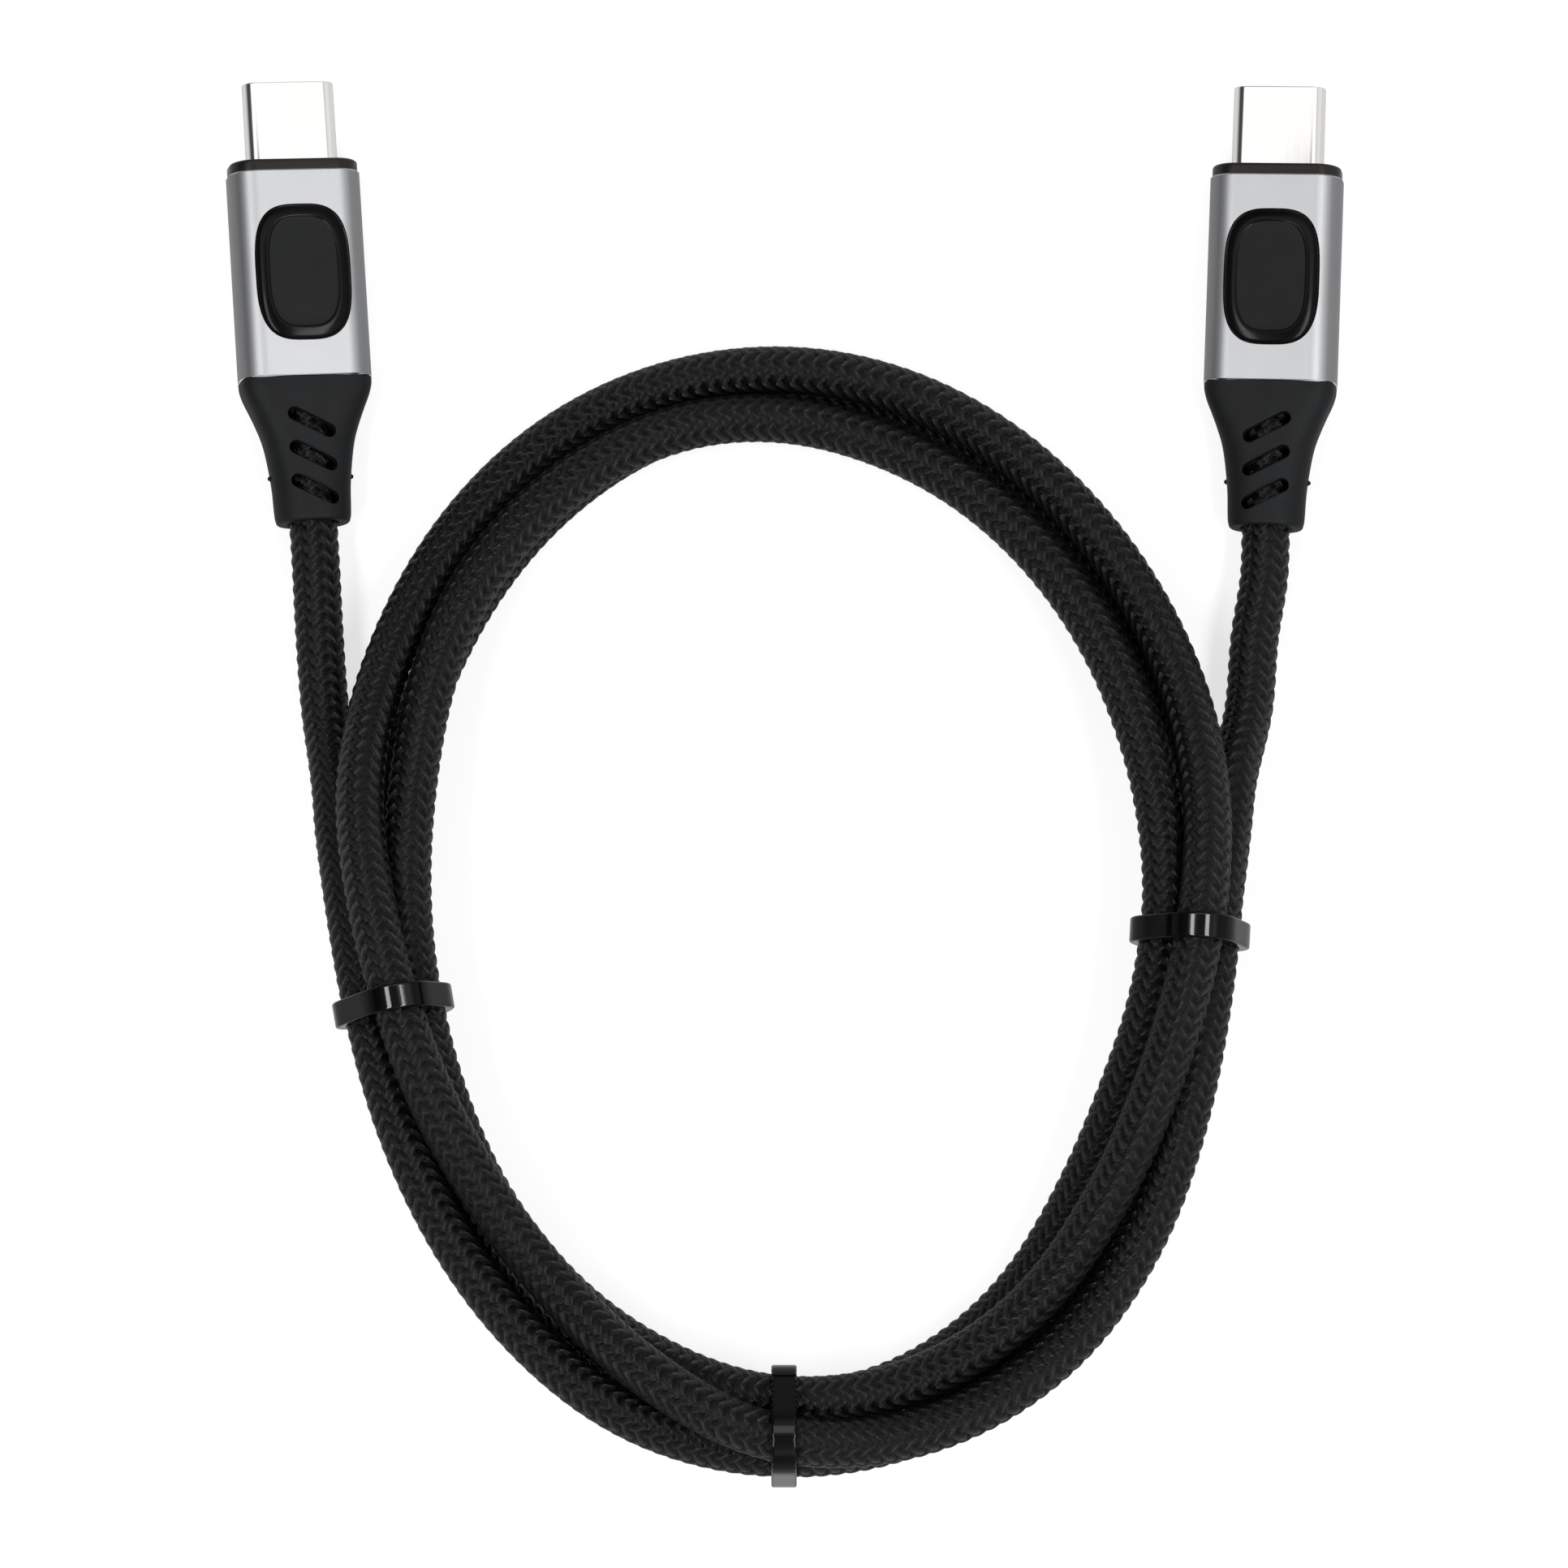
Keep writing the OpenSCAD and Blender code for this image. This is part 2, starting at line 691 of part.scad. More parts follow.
module left_cord_end() {
    route = free_route(left_seam, left_lean, left_roll, left_bends,
        coil_points[0], unit(coil_points[1] - coil_points[0]));
    color([0.1, 0.1, 0.1]) tube(route, cord_r, free_sides);
}

module right_cord_end() {
    last = len(coil_points) - 1;
    route = free_route(right_seam, right_lean, right_roll, right_bends,
        coil_points[last], unit(coil_points[last - 1] - coil_points[last]));
    color([0.1, 0.1, 0.1]) tube(route, cord_r, free_sides);
}

module cord_coil() {
    echo(str("least gap of the coil to itself: ", least_gap(), " mm"));
    color([0.12, 0.12, 0.12]) tube(coil_points, cord_r, coil_sides);
}

// ---- Cable ties ----

// Strands inside a tie, as places outwards and upwards from the bundle's middle
function tied_strands(angle) = [
    for (turn = [0 : 3])
        let (
            run = angle + 360 * turn,
            p = run_point(run),
            mid = bundle_mid(angle),
            out = outward(angle)
        )
        if (run >= coil_start && run <= coil_end)
            [(p[0] - mid[0]) * out[0] + (p[1] - mid[1]) * out[1], p[2]]
];

// Band round a tie's strands, grown from their surfaces
module band_outline(strands, grow) {
    hull() for (p = strands) translate(p) circle(cord_r + grow, $fn = 32);
}

// Cable tie: a strap pulled tight round the strands, and its head below them
module tie(angle) {
    strands = tied_strands(angle);
    low = [for (p = strands) if (p[1] == min([for (q = strands) q[1]])) p][0];
    inner_z = low[1] - cord_r - seat_gap;
    mid = bundle_mid(angle);
    out = outward(angle);
    color([0.07, 0.07, 0.07]) translate([mid[0], mid[1], 0])
        rotate([0, 0, atan2(out[1], out[0])]) {
            along_y(-tie_w / 2, tie_w / 2) difference() {
                band_outline(strands, seat_gap + tie_t);
                band_outline(strands, seat_gap);
            }
            difference() {
                translate([low[0], 0, inner_z - head_h])
                    linear_extrude(head_h) rounded(head_w, head_len, head_r);
                translate([low[0] - head_slot_w / 2, -tie_w / 2 - fit, inner_z - head_h - overcut])
                    cube([head_slot_w, tie_w + 2 * fit, head_h + overcut - tie_t]);
            }
            translate([low[0] - head_slot_w / 2, -tie_w / 2, inner_z - head_h + tail_recess])
                cube([tie_t, tie_w, head_h - tail_recess]);
        }
}

module left_tie() {
    tie(left_tie_angle);
}

module bottom_tie() {
    tie(bottom_tie_angle);
}

module right_tie() {
    tie(right_tie_angle);
}

left_plug() shell();  // left_shell
left_plug() insulator();  // left_insulator
left_plug() upper_contacts();  // left_upper_contacts
left_plug() lower_contacts();  // left_lower_contacts
left_plug() latch_plate();  // left_latch_plate
left_plug() upper_spring();  // left_upper_spring
left_plug() lower_spring();  // left_lower_spring
left_plug() board();  // left_board
left_plug() marker_chip();  // left_marker_chip
left_plug() power_wires();  // left_power_wires
left_plug() signal_wires();  // left_signal_wires
left_plug() crimp();  // left_crimp
left_plug() inner_mould();  // left_inner_mould
left_plug() collar();  // left_collar
left_plug() sleeve();  // left_sleeve
left_plug() badge();  // left_badge
left_plug() boot(-1);  // left_boot
right_plug() shell();  // right_shell
right_plug() insulator();  // right_insulator
right_plug() upper_contacts();  // right_upper_contacts
right_plug() lower_contacts();  // right_lower_contacts
right_plug() latch_plate();  // right_latch_plate
right_plug() upper_spring();  // right_upper_spring
right_plug() lower_spring();  // right_lower_spring
right_plug() board();  // right_board
right_plug() marker_chip();  // right_marker_chip
right_plug() power_wires();  // right_power_wires
right_plug() signal_wires();  // right_signal_wires
right_plug() crimp();  // right_crimp
right_plug() inner_mould();  // right_inner_mould
right_plug() collar();  // right_collar
right_plug() sleeve();  // right_sleeve
right_plug() badge();  // right_badge
right_plug() boot(1);  // right_boot
left_cord_end();
cord_coil();
right_cord_end();
left_tie();
bottom_tie();
right_tie();
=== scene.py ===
"""Looks of a coiled charging cable: braided cord, two plugs with metal sleeves, three cable ties.

Lengths in this script are millimetres, and mm() turns them into Blender's metres.
A plug's own frame has y = 0 at the seam between sleeve and boot, +Y to the tip and +Z to the badge.
"""

from math import atan2, ceil, cos, hypot, pi, radians, sin

import bmesh
import bpy
import numpy as np
from mathutils import Matrix, Vector


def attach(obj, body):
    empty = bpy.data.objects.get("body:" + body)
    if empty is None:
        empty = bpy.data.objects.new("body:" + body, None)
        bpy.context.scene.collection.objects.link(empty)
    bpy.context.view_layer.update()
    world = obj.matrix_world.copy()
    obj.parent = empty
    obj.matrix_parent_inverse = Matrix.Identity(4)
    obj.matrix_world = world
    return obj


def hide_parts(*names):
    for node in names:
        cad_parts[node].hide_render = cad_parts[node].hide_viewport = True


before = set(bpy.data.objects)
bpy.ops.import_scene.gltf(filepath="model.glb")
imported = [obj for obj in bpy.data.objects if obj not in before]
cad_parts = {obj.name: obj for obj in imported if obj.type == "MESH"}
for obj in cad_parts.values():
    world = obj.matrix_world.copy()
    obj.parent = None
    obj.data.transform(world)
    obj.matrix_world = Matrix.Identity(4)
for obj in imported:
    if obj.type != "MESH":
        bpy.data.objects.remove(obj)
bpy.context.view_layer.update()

MM = 0.001

# ---- Sizes shared with the solids, in mm ----

SHELL_W, SHELL_H, SHELL_WALL = 8.25, 2.4, 0.25
SHELL_OUT = 7.35          # from the collar's face to the tip
SLEEVE_W, SLEEVE_H, SLEEVE_R, SLEEVE_WALL = 11.85, 5.9, 2.4, 0.6
SLEEVE_LEN = 18.8
COLLAR_OUT, COLLAR_INSET = 1, 0.15
COLLAR_FACE_Y = SLEEVE_LEN + COLLAR_OUT
SHELL_TIP_Y = COLLAR_FACE_Y + SHELL_OUT
BADGE_W, BADGE_LEN, BADGE_RISE = 8.3, 12.1, 0.4
BADGE_Y = SLEEVE_LEN / 2
BOOT_LEN = 12.9
BOOT_INSET = 0.05
BOOT_START = (SLEEVE_W - 2 * BOOT_INSET, SLEEVE_H - 2 * BOOT_INSET)
BOOT_END = (6.7, 5.5)
# Share of the boot's length, share of the way from its start's size to its
# end's, and squareness
BOOT_SECTIONS = [
    [0, 0, 4], [0.05, 0.02, 4], [0.12, 0.12, 3.8], [0.2, 0.29, 3.5],
    [0.3, 0.49, 3.1], [0.42, 0.69, 2.8], [0.56, 0.82, 2.5], [0.75, 0.93, 2.3],
    [0.95, 0.98, 2.2], [1, 1.05, 2.2],
]
SLOT_LEN, SLOT_W, SLOT_PITCH, FIRST_SLOT_Y = 4.6, 1.15, 3, -4.15
SLOT_COUNT = 3
SLOT_SLANT = 28           # degrees
NUB_SHARE = 0.675         # of the boot's length, where its nubs are
NUB_R, NUB_TIP_W = 0.28, 7.75

CORD_D = 4
STRAND_GAP, REST_GAP = 0.5, 0.1
PITCH = CORD_D + STRAND_GAP
LOW_Z = CORD_D / 2 + REST_GAP
COIL_HALF_W, COIL_HALF_L = 35.5, 44.7
COIL_CENTRE = (-0.09, -11.44)
COIL_START, COIL_END = 165, 1455            # angles run, as in LAY
COIL_STEP = 5

TIE_W, TIE_T = 2.2, 0.9
HEAD_W, HEAD_LEN, HEAD_H = 4.6, 4.8, 3.2
SEAT_GAP = 0.3
TIE_ANGLES = {"left_tie": 195.5, "bottom_tie": 270, "right_tie": 355}
LEFT_TIE, BOTTOM_TIE, RIGHT_TIE = TIE_ANGLES.values()
TIE_LEVEL = 16            # degrees each way of a tie in which the bundle lies level
TIE_LIFT = HEAD_H + SEAT_GAP + CORD_D / 2 - LOW_Z

# How the strand lies in the bundle: angle run since the first pass crossed
# the +X side, and its place outwards and upwards, in strand spacings
LAY = [
    [150, 1.7, 0.15], [165, 1.09, 0.1], [180, 0.61, 0.59], [195, 0.39, 0.87],
    [210, 0.36, 0.98], [225, 0.43, 1.01], [240, 0.58, 1.03], [255, 0.77, 0.93],
    [270, 0.82, 0.56], [285, 0.84, 0.16], [300, 0.66, 0], [330, 0.15, 0],
    [360, -0.1, 0], [390, 0.05, 0], [450, 0.09, 0.01], [480, -0.03, 0.01],
    [510, -0.12, 0], [525, -0.1, 0], [555, -0.27, 0], [570, 0.01, 0], [600, 0.39, 0],
    [615, 0.29, 0], [630, -0.06, 0], [645, -0.17, 0], [660, -0.36, 0.03],
    [675, -0.62, 0.22], [690, -0.7, 0.57], [705, -0.57, 0.86], [720, -0.45, 0.94],
    [735, -0.45, 0.91], [750, -0.48, 0.86], [795, -0.5, 0.87], [825, -0.16, 1.07],
    [855, -0.07, 1.07], [885, -0.46, 0.93], [915, -0.62, 0.94], [930, -0.63, 0.8],
    [945, -0.58, 0.6], [960, -0.53, 0.43], [975, -0.41, 0.79], [990, -0.17, 1.04],
    [1005, -0.02, 0.98], [1020, 0.02, 1.01], [1035, -0.09, 1.26], [1050, -0.11, 1.59],
    [1065, 0.02, 1.75], [1080, 0.25, 1.69], [1095, 0.48, 1.31], [1110, 0.59, 0.92],
    [1140, 0.59, 0.88], [1170, 0.67, 0.84], [1200, 0.9, 0.53], [1230, 0.75, 0.71],
    [1245, 0.54, 1.22], [1260, 0.14, 1.69], [1275, -0.2, 1.85], [1290, -0.41, 1.8],
    [1305, -0.54, 1.6], [1320, -0.47, 1.46], [1335, -0.05, 1.76], [1350, 0.62, 1.74],
    [1365, 0.96, 1.28], [1380, 1.04, 0.97], [1395, 0.87, 0.88], [1410, 0.62, 0.88],
    [1425, 0.5, 0.86], [1440, 0.58, 0.74], [1448, 0.8, 0.45], [1455, 1.06, 0.24],
    [1470, 1.9, 0.1],
]
# Angle, and how much of TIE_LIFT the ties' heads hold the bundle up by
LIFT_SHARE = [
    [95, 0], [LEFT_TIE - TIE_LEVEL, 1], [LEFT_TIE + TIE_LEVEL, 1],
    [233, 0.85], [BOTTOM_TIE - TIE_LEVEL, 1], [BOTTOM_TIE + TIE_LEVEL, 1],
    [312, 0.85], [RIGHT_TIE - TIE_LEVEL, 1], [RIGHT_TIE + TIE_LEVEL, 1],
    [445, 0],
]
# Where each plug lies: its seam, its lean and roll in degrees, which way its
# slots slant, and the cord's bends between boot and coil
PLUGS = {
    "left": {"seam": (-42.8, 35.67), "lean": 3.85, "roll": 12, "slant": -1,
             "bends": [[-41.29, 12.56, 3.7], [-40.79, 6.56, 3.9]]},
    "right": {"seam": (43.28, 35.29), "lean": -2.35, "roll": -8, "slant": 1,
              "bends": [[41.66, 12.56, 3.7], [41.11, 6.56, 4.2]]},
}

# ---- Sizes that only the looks have, in mm ----

BRAID_R = 2.17            # outside of the braid
BRAID_RISE = 0.10         # half the way a yarn moves in and out
BRAID_CARRIERS = 12       # yarns each way round
BRAID_LAY = 15.0          # length in which a yarn goes once round
BRAID_STEPS = 72          # rings in one lay
YARN_W = 0.95             # across one flat yarn
YARN_CROWN = 0.2          # how far its middle stands over its edges
YARN_CROWN_POWER = 0.85   # less than 1 is squarer than a parabola
YARN_HOLD = 0.25          # how much longer than in a plain wave a yarn stays out or in
YARN_PLACES = [-1, -0.75, -0.4, 0, 0.4, 0.75, 1]    # of a yarn's points, from edge to edge
YARN_THREADS = 2.2        # half the width of a yarn, on its UV map
CORE_R, CORE_SIDES = 1.5, 12
LINE_SUBSTEPS = 4         # finer points from which even ones are taken
CORD_HIDDEN = 4.0         # cord inside the boot's front, before the plug's crimp

SHELL_HELD = 3            # length of shell behind the collar's face
COLLAR_EDGE, COLLAR_PLAY = 0.3, 0.04
CHAMFER = 0.14
SLEEVE_STEP = 0.5         # between the sleeve's rings
WINDOW_PLAY = 0.08        # by which the badge's window is wider than the badge
WINDOW_LOW = 1.5          # height over the axis at which the window's cut ends
WINDOW_BEVEL = [(0, 0.1), (0.14, -0.04)]    # (out from the outline, below the surface)
CUT_TOP = SLEEVE_H / 2 + 2                  # height over the axis that every cut comes from
BEVEL_SLOPES = (0.2, 0.95)                  # of a cut edge's normals along the plug
ROUND_PLAY, SAME_WAY = 0.02, 0.99           # how near to the round surface, and to its normal
SIDE_PLAY, LEAST_TOP = 0.01, 0.001          # keep a height off the upright sides

BADGE_POWER, BADGE_POINTS = 3.2, 120
BADGE_RIM_W = 0.95
BADGE_FLAT_IN, BADGE_FLAT_RISE = BADGE_RIM_W + 0.24, 0.3
# (in from the outline, height above the sleeve), from the window up over the rim to the flat
BADGE_SLOPES = [
    (0, -0.5), (0, 0.02), (0.03, 0.09), (0.1, 0.16), (0.3, 0.25), (0.5, 0.32), (0.7, 0.37),
    (0.85, 0.395), (BADGE_RIM_W, BADGE_RISE), (BADGE_RIM_W + 0.06, 0.39), (BADGE_RIM_W + 0.12, 0.35),
    (BADGE_RIM_W + 0.16, 0.31), (BADGE_FLAT_IN, BADGE_FLAT_RISE),
]
BADGE_FLAT_SHARES = (0.85, 0.6, 0.35, 0.12)

BOOT_POINTS, BOOT_RINGS = 120, 90
BOOT_EDGE = 0.28          # rounding of the end where the cord leaves
BOOT_BORE_R = CORD_D / 2 + 0.2
BOOT_LIP = 0.15
BORE_SHARES = (0.8, 0.5, 0.2, 0)            # of the boot's length, where the bore has rings
SLOT_LOW = 0.2            # height over the axis at which a slot's cut ends
SLOT_END_STEPS = 16       # points round one end
SLOT_FILLET = [(0.0, 0.12), (0.01, 0.07), (0.035, 0.03), (0.08, 0.005), (0.13, -0.02)]
NUB_ROOT = 0.6            # length of a nub, most of it in the boot
NUB_POINTS = 20
NUB_PROFILE = ((0, 1), (0.5, 0.95), (0.8, 0.7), (0.95, 0.4), (1, 0.1))   # (along it, of its radius)

TIE_INNER_R = CORD_D / 2 + 0.2
TIE_BEND = 0.55           # length over which the stiff strap evens out its bends
TIE_BEND_STEPS = 12       # rings each way over which it is evened out
TIE_EDGE, TIE_INNER_EDGE = 0.2, 0.08    # rounding of a strap's outer and inner edges
TIE_EDGE_STEPS = 5
TIE_BRIM = 0.04           # flat strip beside a rounded outer edge
BAND_POINTS = 72          # round one strand, for the line that the strap takes
TIE_STEP = 0.16           # between the strap's rings
TIE_RIDGE = 0.07          # depth of the fine ridges along a strap's edges
RIDGE_RINGS = 2           # rings on a ridge, and as many between two
RIDGED_TIES = {"bottom_tie"}
HEAD_EDGE, HEAD_CORNER = 0.35, 0.6
HEAD_FOOT = [(HEAD_EDGE, 0), (0.1, 0.06), (0, HEAD_EDGE)]     # (in, up) round the lower edge
HEAD_STEPS = 4            # rings round the upper edge
MOUTH_PLAY, MOUTH_DEPTH, MOUTH_FLARE, MOUTH_CORNER = 0.6, 2.2, 0.25, 0.15
TAIL_PLACE = -0.3         # from the middle of the mouth
TAIL_LOW, TAIL_BELOW_TOP, TAIL_CORNER, TAIL_PLAY = 0.25, 0.5, 0.12, 0.1

CORNER_POINTS = 14        # steps round a rectangle's round corner
EDGE_STEPS = 6            # rings round a rounded edge
ALL_SMOOTH = 180          # degrees: no edge is sharp


def mm(*values):
    """A vector in metres, from millimetres."""
    return Vector(values) * MM


# ---- The cord's route, as in the solids ----

def slope(table, col, k):
    """Slope of column col at row k, from the rows on both sides."""
    a, b = table[max(k - 1, 0)], table[min(k + 1, len(table) - 1)]
    return (b[col] - a[col]) / (b[0] - a[0])


def row_of(table, x):
    """The row before x."""
    k = 0
    while k < len(table) - 2 and table[k + 1][0] <= x:
        k += 1
    return k


def curve(table, col, x):
    """Smooth curve through column col of a table, at x."""
    k = row_of(table, x)
    span = table[k + 1][0] - table[k][0]
    t = (x - table[k][0]) / span
    return ((1 + 2 * t) * (1 - t) ** 2 * table[k][col]
            + t * (1 - t) ** 2 * span * slope(table, col, k)
            + t * t * (3 - 2 * t) * table[k + 1][col]
            + t * t * (t - 1) * span * slope(table, col, k + 1))


def ease(table, x):
    """Steps between a table's values, each with a level start and end, at x."""
    k = row_of(table, x)
    t = (x - table[k][0]) / (table[k + 1][0] - table[k][0])
    return table[k][1] + (table[k + 1][1] - table[k][1]) * t * t * (3 - 2 * t)


def lift_at(angle):
    """How far the ties' heads hold the bundle up at an angle."""
    a = angle % 360
    if a < LIFT_SHARE[-1][0] - 360:
        a += 360
    return 0 if a < LIFT_SHARE[0][0] else TIE_LIFT * ease(LIFT_SHARE, a)


def bundle_mid(angle):
    """Point of the coil's oval at an angle."""
    c, s = cos(radians(angle)), sin(radians(angle))
    radius = COIL_HALF_W * COIL_HALF_L / hypot(COIL_HALF_L * c, COIL_HALF_W * s)
    return Vector((COIL_CENTRE[0] + radius * c, COIL_CENTRE[1] + radius * s, 0))


def outward(angle):
    """Direction away from the oval at an angle."""
    c, s = cos(radians(angle)), sin(radians(angle))
    return Vector((c / COIL_HALF_W ** 2, s / COIL_HALF_L ** 2, 0)).normalized()


def strand_point(angle):
    """Point of the cord's middle line, at the angle it has run."""
    place = bundle_mid(angle) + PITCH * curve(LAY, 1, angle) * outward(angle)
    place.z = LOW_Z + lift_at(angle) + PITCH * curve(LAY, 2, angle)
    return place


def axis_z(roll):
    """Height of a plug's axis when it lies rolled on the table."""
    return ((SLEEVE_W / 2 - SLEEVE_R) * abs(sin(radians(roll)))
            + (SLEEVE_H / 2 - SLEEVE_R) * cos(radians(roll)) + SLEEVE_R)


def axis_point(plug, y):
    """Point of a plug's axis, at y in the plug's own frame."""
    lean = radians(plug["lean"])
    x0, y0 = plug["seam"]
    return Vector((x0 - y * sin(lean), y0 + y * cos(lean), axis_z(plug["roll"])))


def plug_matrix(plug):
    """From a plug's own frame in mm to the part's frame in metres."""
    place = Matrix.Translation((*plug["seam"], axis_z(plug["roll"])))
    lean = Matrix.Rotation(radians(plug["lean"]), 4, "Z")
    roll = Matrix.Rotation(radians(plug["roll"]), 4, "Y")
    return Matrix.Scale(MM, 4) @ place @ (lean @ roll)


def end_points(plug):
    """The straight way out of a plug, then the bends towards the coil."""
    ys = (CORD_HIDDEN, 0, -BOOT_LEN / 2, -BOOT_LEN, -BOOT_LEN - CORD_D)
    return [axis_point(plug, y) for y in ys] + [Vector(p) for p in plug["bends"]]


def smooth_line(points, step):
    """Points every step along a smooth curve through points."""
    p = np.array([tuple(v) for v in points])
    knots = np.concatenate([[0], np.cumsum(np.linalg.norm(np.diff(p, axis=0), axis=1))])
    slopes = np.gradient(p, knots, axis=0)
    fine_at = np.linspace(0, knots[-1], int(knots[-1] / step) * LINE_SUBSTEPS)
    k = np.clip(np.searchsorted(knots, fine_at, side="right") - 1, 0, len(knots) - 2)
    span = (knots[k + 1] - knots[k])[:, None]
    t = (fine_at[:, None] - knots[k][:, None]) / span
    fine = ((1 + 2 * t) * (1 - t) ** 2 * p[k] + t * (1 - t) ** 2 * span * slopes[k]
            + t * t * (3 - 2 * t) * p[k + 1] + t * t * (t - 1) * span * slopes[k + 1])
    run = np.concatenate([[0], np.cumsum(np.linalg.norm(np.diff(fine, axis=0), axis=1))])
    at = np.linspace(0, run[-1], int(run[-1] / step) + 1)
    return np.stack([np.interp(at, run, fine[:, c]) for c in range(3)], axis=1)


def carried_frames(line):
    """Two unit vectors across the line at each point, carried along without twist."""
    ahead = np.gradient(line, axis=0)
    ahead /= np.linalg.norm(ahead, axis=1)[:, None]
    side = np.cross(ahead[0], (0, 0, 1))
    sides = []
    for way in ahead:
        side = side - way * np.dot(side, way)
        side = side / np.linalg.norm(side)
        sides.append(side)
    sides = np.array(sides)
    return sides, np.cross(sides, ahead)


# ---- Mesh helpers ----

def add_mesh(name, vertices, faces, material, uvs=None):
    """A mesh object from points in metres; faces is a list or an array of quads."""
    mesh = bpy.data.meshes.new(name)
    vertices = np.asarray(vertices, np.float32).reshape(-1, 3)
    if isinstance(faces, np.ndarray):
        mesh.vertices.add(len(vertices))
        mesh.vertices.foreach_set("co", vertices.ravel())
        mesh.loops.add(faces.size)
        mesh.loops.foreach_set("vertex_index", faces.ravel())
        mesh.polygons.add(len(faces))
        mesh.polygons.foreach_set("loop_start", np.arange(0, faces.size, 4))
        mesh.update(calc_edges=True)
    else:
        mesh.from_pydata([tuple(v) for v in vertices], [], [list(f) for f in faces])
    if uvs is not None:
        layer = mesh.uv_layers.new(name="Yarn")
        layer.data.foreach_set("uv", np.asarray(uvs, np.float32)[faces.ravel()].ravel())
    mesh.materials.append(material)
    mesh.shade_smooth()
    piece = bpy.data.objects.new(name, mesh)
    bpy.context.scene.collection.objects.link(piece)
    return piece


def sharpen(piece, degrees):
    """Marks edges sharper than an angle, so that smooth shading stops there."""
    bm = bmesh.new()
    bm.from_mesh(piece.data)
    bmesh.ops.recalc_face_normals(bm, faces=bm.faces)
    for edge in bm.edges:
        edge.smooth = len(edge.link_faces) == 2 and edge.calc_face_angle(0) < radians(degrees)
    bm.to_mesh(piece.data)
    bm.free()
    return piece


def finish_piece(piece, slot_name, *nodes):
    """Rides the piece on the body and hides the solids that it takes the place of; slot_name is not
    used.
    """
    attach(piece, "root")
    if nodes:
        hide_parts(*nodes)
    return piece


def loft(rings, looped=False):
    """Vertices and faces of a skin over rings of points, capped or joined round."""
    n = len(rings[0])
    vertices = [p for ring in rings for p in ring]
    faces = []
    for k in range(len(rings) if looped else len(rings) - 1):
        a, b = k * n, (k + 1) % len(rings) * n
        faces += [(a + s, a + (s + 1) % n, b + (s + 1) % n, b + s) for s in range(n)]
    if not looped:
        faces += [tuple(range(n)), tuple((len(rings) - 1) * n + s for s in reversed(range(n)))]
    return vertices, faces


def placed(matrix, vertices):
    """The vertices, moved by a matrix."""
    return [matrix @ Vector(v) for v in vertices]


def add_loft(name, matrix, rings, material, looped=False):
    """A mesh object that is a skin over rings of points in mm."""
    vertices, faces = loft(rings, looped)
    return add_mesh(name, placed(matrix, vertices), faces, material)


def rounded_outline(w, h, r, inset=0.0):
    """Rectangle with round corners in the XZ plane, drawn in by inset."""
    r = max(r - inset, 0.01)
    cx, cz = w / 2 - inset - r, h / 2 - inset - r
    points = []
    for quarter, (sx, sz) in enumerate([(1, 1), (-1, 1), (-1, -1), (1, -1)]):
        for k in range(CORNER_POINTS + 1):
            a = radians(90 * (quarter + k / CORNER_POINTS))
            points.append((sx * cx + r * cos(a), sz * cz + r * sin(a)))
    return points


def at_y(outline, y):
    """An outline in the XZ plane, moved to y."""
    return [Vector((x, y, z)) for x, z in outline]


def oval_outline(w, h, power, count):
    """Superellipse: power 2 is an ellipse, more is squarer."""
    points = []
    for k in range(count):
        c, s = cos(2 * pi * k / count), sin(2 * pi * k / count)
        x = w / 2 * (abs(c) ** (2 / power)) * (1 if c >= 0 else -1)
        y = h / 2 * (abs(s) ** (2 / power)) * (1 if s >= 0 else -1)
        points.append((x, y))
    return points


def circle(radius, count):
    """Outline of a circle."""
    return oval_outline(2 * radius, 2 * radius, 2, count)


def round_steps(radius, steps, turn=90):
    """Offsets (in, along) of a rounded edge, from the side to the end face."""
    return [(radius * (1 - cos(radians(turn * k / steps))), radius * sin(radians(turn * k / steps)))
            for k in range(steps + 1)]


def cut(piece, cutter):
    """Takes cutter away from piece and applies it."""
    modifier = piece.modifiers.new("cut", "BOOLEAN")
    modifier.operation = "DIFFERENCE"
    modifier.solver = "EXACT"
    modifier.object = cutter
    depsgraph = bpy.context.evaluated_depsgraph_get()
    result = bpy.data.meshes.new_from_object(piece.evaluated_get(depsgraph))
    piece.modifiers.clear()
    piece.data = result
    bpy.data.objects.remove(cutter)


# ---- Materials ----

NOISE_RANGE = (0.3, 0.7)       # in which most of a noise's values lie


def new_material(name, color, roughness, metallic=0.0, **sockets):
    """A Principled material; the rest of its sockets are named as in Blender, with _ for space."""
    material = bpy.data.materials.new(name)
    material.use_nodes = True
    shader = material.node_tree.nodes["Principled BSDF"]
    shader.inputs["Base Color"].default_value = (*color, 1)
    shader.inputs["Roughness"].default_value = roughness
    shader.inputs["Metallic"].default_value = metallic
    for key, value in sockets.items():
        shader.inputs[key.replace("_", " ")].default_value = value
    return material


